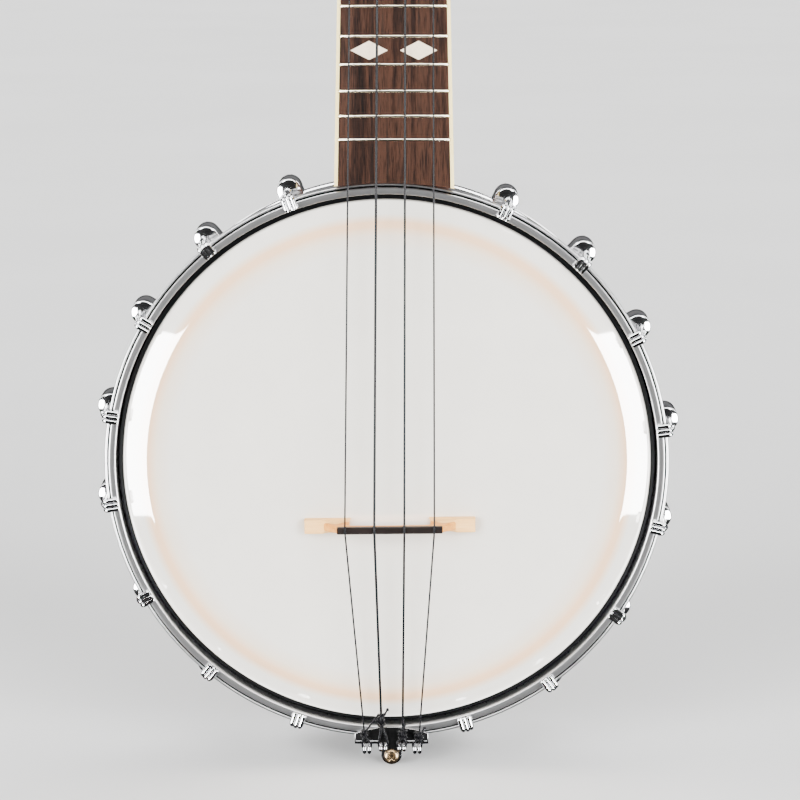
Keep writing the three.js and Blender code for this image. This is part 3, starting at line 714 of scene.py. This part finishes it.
def make_coordinator_rod():
    """The rod through the pot, with washers and a hex nut at each end."""
    low, high = extent("coordinator_rod")
    x, y = (low.x + high.x) / 2, (low.y + high.y) / 2
    along = shift(x, y, 0) @ spin(pi / 2, "X")
    radius, bottom, top = 4.0, low.z + 0.4, high.z - 0.4
    parts = [lathe([(AXIS, bottom), (radius - 0.4, bottom), (radius, bottom + 0.4), (radius, top - 0.4),
                    (radius - 0.4, top), (AXIS, top)], 64)]
    for end in (-1, 1):
        edge = high.z if end > 0 else low.z
        near, far = sorted((edge - end * 6.2, edge - end * 1.2))
        parts.append(hex_nut(7.4, near, far, 0.6))
        parts.append(lathe([(3.9, edge - end * 1.1), (7.2, edge - end * 1.1), (7.2, edge), (3.9, edge)], 64))
    piece("pot_rod", moved(merge(*parts), along), STEEL, cad="coordinator_rod")
    for end in (-1, 1):
        seat = [(AXIS, 0.0), (8.5, 0.0), (8.5, 0.4), (8.0, 0.9), (AXIS, 0.9)]
        turn = shift(x, y, end * (RIM_INNER - 0.1)) @ spin(-end * pi / 2, "X")
        piece("rod_washer_" + ("neck" if end > 0 else "tail"), moved(lathe(seat, 64), turn), STEEL)


# ---- bridge and tailpiece

def make_bridge():
    """A maple bridge on two feet, with an ebony cap notched for the strings."""
    turn = shift(BRIDGE_X, -0.3, BRIDGE_Z) @ spin(radians(-0.55), "Y")
    foot, arch, block, top, cap = 32.25, 14.7, 25.2, 19.8, 2.3
    height = BRIDGE_HIGH.y - BRIDGE_LOW.y
    outer = [(-foot + 0.6, 0), (-foot + 0.6, -4.0), (-block, -4.0), (-top, cap - height)]
    under = [(arch + 0.4, 0), (arch + 0.8, -2.2), (arch + 2.2, -3.6), (arch + 1.9, -6.6), (arch - 0.4, -8.4)]
    beam = [*outer, *mirrored(outer), *under, (0, -8.8), *mirrored(under)]

    def slab(outline):
        """A board of that outline across the strings, thinner towards its top and with eased edges."""
        rings = []
        for inward, proud in ((0.3, 0.05), (0.1, 0.0), (0.0, 0.0)):
            rings.append([(x, y, lerp(1.6, 1.3, -y / height) - 0.35 + inward + proud)
                          for x, y in inset(outline, inward)])
        return skin(rings + [[(x, y, -z) for x, y, z in ring] for ring in reversed(rings)])

    def end_block(side):
        """A foot with its raised outer block, sloping in to the beam above."""
        wide = [(arch, 0), (arch, -1.7), (arch + 0.7, -2.1), (block - 2.4, -2.3), (block - 0.3, -3.6),
                (block, -4.4), (foot, -4.4), (foot, 0)]
        slim = [(arch + 0.6, 0), (arch + 0.6, -1.7), (arch + 2.3, -3.4), (top + 0.2, -6.6), (block - 1.3, -4.5),
                (block - 0.1, -4.4), (foot - 0.05, -4.35), (foot - 0.05, 0)]
        rings = []
        for z, share in ((2.45, 0), (1.42, 1), (-1.42, 1), (-2.45, 0)):
            outline = [(lerp(a[0], b[0], share), lerp(a[1], b[1], share)) for a, b in zip(wide, slim)]
            rings.append([(side * x, y, z) for x, y in rounded(outline, 0.45, 3)])
        first, last = rings[0], rings[-1]
        mid_x = sum(x for x, y, z in first) / len(first)

        def eased(ring, z):
            return [(lerp(x, mid_x, 0.018), lerp(y, -1.9, 0.05), z) for x, y, unused in ring]

        return skin([eased(first, 2.6), *rings, eased(last, -2.6)])

    beam.reverse()
    piece("bridge_body", moved(slab(rounded(beam, 0.5)), turn), MAPLE, cad="bridge")
    for side, word in SIDES:
        piece("bridge_end_" + word, moved(end_block(side), turn), PALE_MAPLE)
    crest = [(-top, cap - height), (-top, -height + 0.2)]
    for string in sorted(STRINGS.values(), key=lambda s: s["bridge"]):
        x, r = string["bridge"] - BRIDGE_X, string["radius"]
        crest += [(x - r - 0.25, -height), (x - r, 0.75 * r - height), (x + r, 0.75 * r - height),
                  (x + r + 0.25, -height)]
    crest += [(top, -height + 0.2), (top, cap - height)]
    piece("bridge_cap", moved(slab(crest), turn), EBONY)


def make_tailpiece():
    """An arched plate over the hoop, with paired prongs and a tongue clamped by a screw."""
    half, shoulder, crown, low = 14.05, -104.3, -101.8, -108.5
    arch = [(TAIL_X + lerp(half, -half, k / 20), shoulder + (crown - shoulder) * (1 - lerp(1, -1, k / 20) ** 2))
            for k in range(21)]
    tongue = arc(TAIL_X, -112.6, 4.0, 180, 360, 16)
    outline = [*arch, (TAIL_X - half, low), (TAIL_X - 4.0, low), *tongue, (TAIL_X + 4.0, low),
               (TAIL_X + half, low)]
    parts = [prism(outline, -2.5, -1.2, 0.32)]
    for side in (-1, 1):
        near, far = TAIL_X + side * 4.3, TAIL_X + side * (half - 0.4)
        parts.append(tube([(x, -1.95, low + 0.75) for x in (near, lerp(near, far, 0.5), far)], 0.78, 20))
    for string in STRINGS.values():
        end = -112.3 if abs(string["tail"] - TAIL_X) > 5 else -111.4
        for side in (-0.92, 0.92):
            x = string["tail"] + side
            path = [(x, -1.9, low + 0.6), (x, -2.6, low + 0.1), (x, -3.0, low - 0.4)]
            path += [(x, -3.1, lerp(low, end, share)) for share in (0.35, 0.6, 0.85)]
            path += [(x, -3.1, end + 0.15), (x, -3.1, end)]
            parts.append(tube(path, [0.4, 0.42, 0.5, 0.74, 0.84, 0.7, 0.4, 0.1], 18))
    piece("tailpiece", merge(*parts), TAIL_METAL, cad="tailpiece_plate", sharp=38)
    make_tail_screw()
    make_bracket()


def make_tail_screw():
    """A domed screw with a cross cut into its head."""
    z = sum(corner.z for corner in extent("tailpiece_screw")) / 2
    head = [(AXIS, -3.9), (1.2, -3.86), (2.1, -3.7), (2.65, -3.35), (2.83, -2.95), (2.83, -2.55), (1.5, -2.55),
            (1.5, 5.9), (AXIS, 5.9)]
    screw = piece("tail_screw", moved(lathe(head, 56), shift(TAIL_X, 0, z)), BRONZE, cad="tailpiece_screw")
    slot = prism([(-1.55, -0.3), (1.55, -0.3), (1.55, 0.3), (-1.55, 0.3)], -1.5, 0.75, 0.01, steps=1)
    carve(screw, *[moved(slot, shift(TAIL_X, -3.9, z) @ spin(turn, "Y")) for turn in (pi / 4, -pi / 4)])


def make_bracket():
    """The strap from the tailpiece's tongue back and down to the tail of the rim, with a domed end nut."""
    thick, half, front, end, lug_z = 1.6, 3.95, -0.9, 44.0, -112.6
    outer = [(front, lug_z), (front + thick, lug_z), (front + thick, -108.6), (14.1, -108.6), (14.1, -103.0),
             (end, -103.0), (end, -101.4), (12.5, -101.4), (12.5, -107.0), (front, -107.0)]
    strap = moved(prism(rounded(outer, 1.0), -half, half, 0.35, "x"), shift(TAIL_X, 0, 0))
    tongue = [*arc(TAIL_X, lug_z, half, 180, 360, 24), (TAIL_X + half, lug_z + 1.5), (TAIL_X - half, lug_z + 1.5)]
    lug = prism(tongue, front, front + thick, 0.35)
    dome = [(AXIS, 5.2), (1.4, 5.0), (2.6, 4.3), (3.3, 3.2), (3.5, 2.6), (3.5, 0.9), (4.6, 0.9), (4.6, 0.0),
            (AXIS, 0.0)]
    turn = shift(TAIL_X, 30, -103.0) @ spin(-pi / 2, "X")
    piece("tail_bracket", merge(strap, lug, moved(lathe(dome, 48), turn)), CHROME, cad="tailpiece_bracket")


# ---- the neck

# From the headstock's own upright frame, whose face is at Y zero, to its tilted place.
HEADSTOCK = shift(NECK_X, NECK_FRONT, HEAD_Z) @ spin(-TILT, "X")


def headstock_half_widths():
    """(half width, distance up the headstock) along its edge, from the nut to the tip's centre."""
    def curve(a, b, c, d, steps):
        points = []
        for k in range(1, steps + 1):
            t = k / steps
            w = (1 - t) ** 3, 3 * t * (1 - t) ** 2, 3 * t * t * (1 - t), t ** 3
            points.append(tuple(sum(p[i] * q for p, q in zip((a, b, c, d), w)) for i in (0, 1)))
        return points

    length = HEAD_LENGTH
    return [(18, 0), *curve((18, 0), (19, 8), (26.5, 8), (26.5, 20), 14),
            *[(lerp(26.5, 24, k / 8), lerp(20, length - 14, k / 8)) for k in range(1, 9)],
            *curve((24, length - 14), (24, length - 4), (12, length - 7), (0.05, length), 22)]


def section(half, depth, power, front, place):
    """Across the neck: a flat front and a back that goes from round (power 2) to square."""
    ring = []
    for k in range(41):
        t = pi * k / 40
        x = copysign(abs(cos(t)) ** (2 / power), cos(t)) * half
        ring.append((x, front + (depth - front) * abs(sin(t)) ** (2 / power), 0.0))
    ring += [(lerp(-half, half, k / 12), front, 0.0) for k in range(1, 12)]
    return [place @ Vector(p) for p in ring]


def neck_depth(z):
    along = min(max((z - 113) / (NUT_Z - 113), 0), 1)
    rise = min(max((152 - z) / 39, 0), 1)
    shaft = lerp(15.5, 13.0, along)
    return shaft + (62 - shaft) * rise ** 2.2


def heel_narrowing(z):
    """How far the back of the neck draws in towards the heel's tip."""
    return 1 - 0.3 * min(max((140 - z) / 35, 0), 1) ** 1.5


def heel_power(z):
    """How square the back of the neck is, from 2 for round."""
    return lerp(2.0, 2.3, min(max((140 - z) / 40, 0), 1))


def make_neck():
    """One piece of wood: heel, shaft, the bend at the nut and the headstock."""
    rings = []
    stations = [93.4 + 60 * (k / 40) ** 1.1 for k in range(41)]
    stations += [lerp(156, NUT_Z - 1, k / 24) for k in range(25)]
    for z in stations:
        full = neck_depth(z)
        ring = section(board_half(z), full, heel_power(z), 0, shift(NECK_X, NECK_FRONT, z))
        rings.append([])
        for p in ring:
            narrow = lerp(1, heel_narrowing(z), min((p.y - NECK_FRONT) / full, 1))
            rings[-1].append(Vector((NECK_X + (p.x - NECK_X) * narrow, p.y, p.z)))
    for half, v in headstock_half_widths():
        tilt = TILT * smooth((v + 3) / 6)
        place = HEADSTOCK @ shift(0, 0, v) @ spin(TILT - tilt, "X")
        front = VENEER * smooth(v / 2)
        power = lerp(2.3, 9.0, smooth(v / 16))
        rings.append(section(half, HEAD_THICK, power, front, place))
    neck = piece("neck_wood", skin(rings), MAHOGANY, cad="neck", sharp=40)
    wall, hoop_room = plug(101.4, -20, 90), plug(107.9, -21, 11.2)
    back = HEEL_CAP_BACK - HEEL_CAP_THICK
    block = prism([(NECK_X - 40, 60), (NECK_X + 40, 60), (NECK_X + 40, 170), (NECK_X - 40, 170)], back, 95, 0.01)
    carve(neck, wall, hoop_room, block)
    shade(neck.data, 40)
    make_heel_cap(back)


def make_heel_cap(front):
    """The ebony plate on the back of the heel, with the heel's own outline there."""
    edge = []
    for z in [101.2 + 26 * k / 60 for k in range(61)]:
        level, power = (front - NECK_FRONT) / neck_depth(z), heel_power(z)
        if level >= 0.995:
            break
        edge.append((board_half(z) * (1 - level ** power) ** (1 / power) * lerp(1, heel_narrowing(z), level), z))
    right = [(NECK_X + x, z) for x, z in edge]
    left = [(NECK_X - x, z) for x, z in reversed(edge)]
    cap = piece("heel_cap", prism(right + left, front + 0.02, HEEL_CAP_BACK, 0.35), EBONY)
    carve(cap, plug(101.5, -20, 90))
    shade(cap.data, 40)


def make_veneer():
    """The dark face of the headstock."""
    edge = [point for point in headstock_half_widths() if point[1] > 0.2]
    face = prism(edge + mirrored(edge), 0, VENEER - 0.02, 0.3)
    piece("headstock_veneer", moved(face, HEADSTOCK), ROSEWOOD)


def board_strip(inner, outer, edge):
    """A strip of the fingerboard between two shares of its half width, ending in the scoop over the hoop."""
    top = NUT_Z - 0.3

    def end(side):
        """Where the strip's edge meets the scooped end."""
        half = side * board_half(BOARD_END)
        return degrees(acos((NECK_X + half) / BOARD_SCOOP))

    low, high = end(inner), end(outer)
    outline = [(NECK_X + outer * board_half(top), top), (NECK_X + inner * board_half(top), top)]
    outline += arc(0, BOARD_END - BOARD_SCOOP, BOARD_SCOOP, low, high, 24)
    return prism(outline, BOARD_FRONT, BOARD_BACK, edge)


def make_fingerboard():
    """The rosewood board between cream bindings, its frets and its pearl inlays."""
    share = 1 - BINDING / board_half(200)
    piece("board_wood", board_strip(-share, share, 0.05), ROSEWOOD, cad="fingerboard")
    piece("binding_left", board_strip(-1, -share, 0.25), CREAM)
    piece("binding_right", board_strip(share, 1, 0.25), CREAM)
    for number in range(1, FRETS + 1):
        make_fret(number)
    for number in (5, 7, 10):
        middle = (fret_z(number) + fret_z(number - 1)) / 2
        make_inlay("inlay_%02d" % number, NECK_X, middle)
    for side, word in SIDES:
        make_inlay("inlay_12_" + word, NECK_X + side * 9.07, (fret_z(11) + fret_z(12)) / 2)


def make_fret(number):
    """A fret's crown with bevelled ends."""
    z, width, foot = fret_z(number), 0.62, BOARD_FRONT + 0.1
    half, rings = board_half(z) - 1.0, []
    for x, size in ((-half, 0.12), (-half + 0.3, 0.7), (-half + 0.7, 1), (half - 0.7, 1), (half - 0.3, 0.7),
                    (half, 0.12)):
        crown = [(BOARD_FRONT - 0.85 * size * sin(pi * k / 12), z - width * cos(pi * k / 12)) for k in range(13)]
        rings.append([(NECK_X + x, *point) for point in [(foot, z - width), *crown, (foot, z + width)]])
    piece("fret_%02d" % number, skin(rings), FRET_METAL)


def make_inlay(name, x, z):
    diamond = [(x - 6.85, z), (x, z - 3.5), (x + 6.85, z), (x, z + 3.5)]
    piece(name, prism(rounded(diamond, 0.25), BOARD_FRONT - 0.04, BOARD_FRONT + 0.6, 0.03), INLAY)


def make_nut():
    """The bone nut, slotted for the strings and sloped back to the headstock."""
    half, thick = (NUT_HIGH.x - NUT_LOW.x) / 2, NUT_HIGH.z - NUT_LOW.z
    slots = [(index - 1.5) * NUT_SPREAD for index in range(4)]
    sizes = [string["radius"] for string in STRINGS.values()]
    across = sorted([-half, -half + 0.4, half - 0.4, half]
                    + [s + d * (r + e) for s, r in zip(slots, sizes) for d in (-1, 1) for e in (0, 0.12)])
    rings = []
    for x in across:
        slot = any(abs(x - s) < r + 0.05 for s, r in zip(slots, sizes))
        rim = 0.35 if abs(x) > half - 0.05 else 0.0
        top = NUT_LOW.y + rim + (0.55 if slot else 0.0)
        outline = [(BOARD_BACK, rim), (BOARD_BACK, thick - rim), (top + 1.2, thick - rim),
                   (top + 0.45, thick - 0.5 - rim), (top, 0.9), (top + 0.1, 0.3 + rim), (top + 0.35, rim)]
        rings.append([(NECK_X + x, y, NUT_Z + z) for y, z in outline])
    piece("string_nut", skin(rings), BONE, cad="nut", sharp=50)


# ---- tuners

def tuner_piece(kind, name, surface, material, body="", cad="", offset=Matrix()):
    """A piece of one tuner, made about its post's axis. The string's name ends those of kind, body and cad."""
    string = STRINGS[name]
    place = shift(string["side"] * POST_U, 0, string["v"]) @ offset
    piece(kind + name, moved(moved(surface, place), HEADSTOCK), material,
          body + name if body else "instrument", cad and cad + name)


def make_tuner_plate(name, string):
    """The stamped base plate with two ears for the worm's shaft and two wood screws."""
    stadium = arc(0, 7.3, 6.2, 0, 180, 20) + arc(0, -7.3, 6.2, 180, 360, 20)
    parts = [prism(stadium, 13.3, PLATE_BACK, 0.3)]
    for inner in (-5.0, 5.5):
        lobe = [(PLATE_BACK - 0.4, -WORM_DROP + 2.7), (PLATE_BACK - 0.4, -WORM_DROP - 2.7)]
        lobe += arc(WORM_DEPTH, -WORM_DROP, 2.7, -90, 90, 16)
        u = string["side"] * inner
        parts.append(prism(lobe, u - 0.7, u + 0.7, 0.2, "x"))
    for v in (-11.2, 11.2):
        head = [(AXIS, 16.0), (0.9, 15.95), (1.6, 15.6), (1.95, 15.0), (1.95, 14.5), (AXIS, 14.5)]
        parts.append(moved(lathe(head, 32), shift(0, 0, v)))
    tuner_piece("tuner_base_", name, merge(*parts), CHROME, cad="tuner_plate_")


def make_bushing(name, unused):
    """The flanged ferrule round the post at the headstock's face."""
    flange = [(3.25, -1.7), (3.9, -1.7), (4.3, -1.3), (5.6, -0.6), (5.8, -0.2), (5.8, 0.05), (3.25, 0.05)]
    tuner_piece("post_bushing_", name, lathe(flange, 64), CHROME)


def make_post(name, string):
    """The string post with its waist, the toothed worm wheel and its screw, and the string's winding."""
    shaft = [(AXIS, -POST_RISE), (2.2, -POST_RISE), (2.8, -8.6), (3.0, -8.0), (3.0, -6.4), (2.6, -5.6), (2.6, -2.9),
             (3.0, -2.3), (3.0, 17.4), (AXIS, 17.4)]
    tuner_piece("post_shaft_", name, lathe(shaft, 48), CHROME, body="post_", cad="string_post_")
    teeth = 14
    rings = []
    for y, grow in ((17.5, 0.9), (17.8, 1.0), (20.2, 1.0), (20.5, 0.9)):
        rings.append([])
        for t in turns(teeth * 8):
            r = (4.05 + 0.88 * smooth(0.5 + 0.5 * cos(teeth * t))) * grow
            rings[-1].append((r * sin(t), y, r * cos(t)))
    screw = [(AXIS, 22.0), (1.3, 21.9), (2.0, 21.5), (2.3, 20.9), (2.3, 20.4), (AXIS, 20.4)]
    tuner_piece("worm_wheel_", name, skin(rings), BRASS, body="post_")
    tuner_piece("wheel_screw_", name, lathe(screw, 32), STEEL, body="post_")
    windings, steps, radius = 3, 72, string["radius"]
    coil = []
    for k in range(steps + 1):
        t = 2 * pi * windings * k / steps
        coil.append((string["side"] * -(2.6 + radius) * cos(t),
                     -4.0 + 2.05 * radius * windings * k / steps - radius, (2.6 + radius) * sin(t)))
    coil.append((0.4 * string["side"], coil[-1][1] + radius, 1.2))
    tuner_piece("string_winding_", name, tube(coil, radius, 12), NYLON, "post_")


def make_button(name, string):
    """The worm and its shaft in steel, and the flattened pearly button on it."""
    side, worm = string["side"], shift(0, WORM_DEPTH, -WORM_DROP)
    shaft = [(AXIS, -6.9), (1.1, -6.9), (1.5, -6.6), (1.5, -4), (1.5, 17.2), (2.3, 17.4), (2.3, 18.8),
             (AXIS, 18.8)]
    steel = moved(merge(lathe(shaft, 32), threaded(2.15, -3.9, 4.4, 2.0, 0.75, 28)), spin(-pi / 2, "Z"))
    handed = [Vector((side * v.x, v.y, v.z)) for v in steel[0]], steel[1]
    tuner_piece("worm_shaft_", name, handed, STEEL, body="button_", cad="tuner_button_", offset=worm)
    rings = []
    for k in range(25):
        t = pi * k / 24
        reach = 23.9 - 6.0 * cos(t)
        round_part = sin(t) ** 0.72
        tall, deep = 6.8 * round_part + 0.35, (3.1 - 0.5 * sin(t) ** 4) * sin(t) ** 0.6 + 0.3
        rings.append([(side * reach, deep * copysign(abs(cos(a)) ** 0.8, cos(a)), tall * sin(a))
                      for a in turns(48)])
    tuner_piece("tuner_knob_", name, skin(rings), BUTTON, "button_", offset=worm)


# ---- strings

def make_string(name, string, index):
    """A string from its prong over the bridge and the nut to its post, with its knot at the tail."""
    radius, side = string["radius"], string["side"]
    nut_x = NECK_X + (index - 1.5) * NUT_SPREAD
    edge_x, edge_z = string["edge"]
    tail = string["tail"]
    corners = [Vector((edge_x, -4.0, edge_z - 0.8)), Vector((edge_x, -4.1, edge_z)),
               Vector((string["bridge"], -13.5, BRIDGE_Z)), Vector((nut_x, -9.15, NUT_Z + 1)),
               HEADSTOCK @ Vector((side * (POST_U - POST_RADIUS - 0.3 - radius), -4.0, string["v"]))]
    path = [corners[0]]
    for before, here, after in zip(corners, corners[1:], corners[2:]):
        for share in (-1.0, -0.5, 0.0, 0.5, 1.0):
            near = before if share < 0 else after
            reach = min(1.6, (near - here).length * 0.8)
            step = (near - here).normalized() * abs(share) * reach
            sag = ((before - here).normalized() + (after - here).normalized()) * 0.22 * (1 - abs(share)) * reach
            path.append(here + step + sag)
    path.append(corners[-1])
    cord = 0.4
    tall, wide = string["knot"]
    knot = []
    for t in [2 * pi * k / 96 for k in range(97)]:
        knot.append((edge_x + wide * sin(3 * t) + 0.2 * cos(2 * t), -4.6 - 0.75 * wide * cos(4 * t),
                     edge_z + tall * 0.72 * cos(t) + 0.25 * sin(5 * t)))
    core = [(AXIS, -tall * 0.7), (wide * 0.4, -tall * 0.6), (wide * 0.7, -tall * 0.3), (wide * 0.7, tall * 0.3),
            (wide * 0.4, tall * 0.6), (AXIS, tall * 0.7)]
    upright = shift(edge_x, -4.4, edge_z) @ spin(pi / 2, "X")
    parts = [tube(path, radius, 16), tube(knot, cord, 10), moved(lathe(core, 24), upright)]
    for leg in (-1, 1):
        strand = [(edge_x, -4.5, edge_z - 0.9),
                  (lerp(edge_x, tail + leg * 1.5, 0.45), -4.3, lerp(edge_z, -108.4, 0.5)),
                  (tail + leg * 1.75, -3.3, -108.4), (tail + leg * 1.6, -3.0, -109.6),
                  (tail + leg * 0.7, -2.75, -110.4), (tail, -2.7, -110.5)]
        parts.append(tube(strand, cord * 0.85, 10))
    ball = Vector(string["end"])
    stub = [Vector((edge_x + 0.3, -4.7, edge_z + 0.4)), Vector((edge_x, -4.9, edge_z)).lerp(ball, 0.6), ball]
    parts.append(tube(stub, cord * 0.85, 10))
    bulb = [(AXIS, -0.62), (0.3, -0.55), (0.55, -0.3), (0.62, 0.0), (0.55, 0.3), (0.3, 0.55), (AXIS, 0.62)]
    if name != "g":
        parts.append(moved(lathe(bulb, 20), Matrix.Translation(ball)))
    piece("string_line_" + name, merge(*parts), NYLON, cad="string_" + name, sharp=70)


def make_instrument():
    for make in (make_rim, make_cladding, make_head, make_hoop, make_hooks, make_shoes, make_shoe_bolts,
                 make_coordinator_rod, make_bridge, make_tailpiece, make_neck, make_veneer, make_fingerboard,
                 make_nut):
        make()
    for index, (name, string) in enumerate(STRINGS.items()):
        for make in (make_tuner_plate, make_bushing, make_post, make_button):
            make(name, string)
        make_string(name, string, index)


# ---- floor, lights and camera

def make_floor():
    """A wide pale studio floor."""
    material, tree, shader = blank("studio_floor")
    place = node(tree, "ShaderNodeTexCoord").outputs["Object"]
    tone = ramp(tree, noise(tree, place, 3.0, 5), [(0.3, (0.79, 0.79, 0.785)), (0.7, (0.83, 0.83, 0.825))])
    feed(tree, shader, {"Base Color": tone, "Roughness": 1.0, "Specular IOR Level": 0.0})
    size = 14.0
    mesh = bpy.data.meshes.new("floor")
    corners = [(-size, -size, 0), (size, -size, 0), (size, size, 0), (-size, size, 0)]
    mesh.from_pydata(corners, [], [(0, 1, 2, 3)])
    mesh.materials.append(material)
    floor = add_object("floor", mesh)
    floor.location.z = CAD_BOX[0][2] - 0.0005
    floor.visible_glossy = floor.visible_shadow = False


def away_from_pot(azimuth, elevation):
    """A direction from the pot, given in degrees. Azimuth 0 is in front and 90 to the right."""
    a, e = radians(azimuth), radians(elevation)
    return Vector((sin(a) * cos(e), -cos(a) * cos(e), sin(e)))


def look_back(made, away):
    """Turns a light or camera that stands out along away to look back."""
    made.rotation_mode = "QUATERNION"
    made.rotation_quaternion = (-away).to_track_quat("-Z", "Y")


def make_softbox(name, azimuth, elevation, distance, size, power):
    """A softbox aimed at the pot that shows only in the gloss."""
    data = bpy.data.lights.new(name, "AREA")
    data.shape, data.energy = "RECTANGLE", power
    data.size, data.size_y = size
    light, away = add_object(name, data), away_from_pot(azimuth, elevation)
    light.location = CENTRE + away * distance
    look_back(light, away)
    light.visible_camera = light.visible_diffuse = False


def make_sky(name, azimuth, elevation, power, spread):
    """A broad far-off light, as even over the floor as on the instrument, that gloss doesn't show."""
    data = bpy.data.lights.new(name, "SUN")
    data.energy, data.angle = power, radians(spread)
    light = add_object(name, data)
    look_back(light, away_from_pot(azimuth, elevation))
    light.visible_glossy = False


def make_lights():
    """Softboxes that show only in the gloss, broad even fills, and a dim room that only gloss and shade see."""
    for side, word in SIDES:
        make_softbox("softbox_" + word, side * 51, -4, 1.6, (1.02, 0.9), 106)
        make_softbox("softbox_back_" + word, side * 140, 28, 2.4, (1.0, 1.3), 50)
        make_softbox("softbox_high_" + word, side * 36, 41, 2.0, (0.55, 0.5), 17)
        make_sky("fill_" + word, side * 34, 14, 6.9, 40)
    make_softbox("softbox_top", 0, 64, 2.2, (2.2, 1.2), 75)
    make_sky("fill_back", 165, 38, 2.6, 50)
    make_sky("overhead", 20, 80, 1.6, 60)
    world = bpy.data.worlds.new("studio")
    world.use_nodes = True
    tree = world.node_tree
    parts = node(tree, "ShaderNodeSeparateXYZ", {"Vector": node(tree, "ShaderNodeTexCoord").outputs["Generated"]})
    height = between(tree, parts.outputs["Z"], 0.0, 1.0, -1.0)
    room = ramp(tree, height, [(0.0, (0.12, 0.12, 0.12)), (0.2, (0.12, 0.12, 0.12)), (0.44, (0.03, 0.03, 0.032)),
                               (0.5, (0.14, 0.14, 0.14)), (0.56, (0.22, 0.22, 0.225)), (0.7, (0.13, 0.13, 0.135)),
                               (1.0, (0.3, 0.3, 0.3))])
    background = tree.nodes["Background"]
    feed(tree, background, {"Color": room, "Strength": between(tree, parts.outputs["Y"], 0.2, 1.0, -0.5, 0.2)})
    wall = node(tree, "ShaderNodeBackground", {"Color": (0.9, 0.9, 0.905, 1.0), "Strength": 2.05})
    seen = node(tree, "ShaderNodeLightPath").outputs["Is Camera Ray"]
    mixed = node(tree, "ShaderNodeMixShader", {"Fac": seen, 1: background.outputs["Background"],
                                               2: wall.outputs["Background"]})
    feed(tree, tree.nodes["World Output"], {"Surface": mixed.outputs["Shader"]})
    bpy.context.scene.world = world


def make_camera():
    """A long lens just above the level of the head, looking slightly down."""
    aim, distance, roll = CENTRE + Vector((5.05, 0, 24.38)) * MM, 1274.76 * MM, radians(-0.122)
    away = away_from_pot(0.268, 10.256)
    data = bpy.data.cameras.new("camera")
    data.sensor_width, data.lens = 36, 152.88
    data.clip_start, data.clip_end = 0.05, 60
    camera = add_object("camera", data)
    camera.location = aim + away * distance
    look_back(camera, away)
    camera.rotation_quaternion = camera.rotation_quaternion @ Quaternion((0, 0, 1), roll)
    bpy.context.scene.camera = camera


make_camera()
make_instrument()
make_floor()
make_lights()
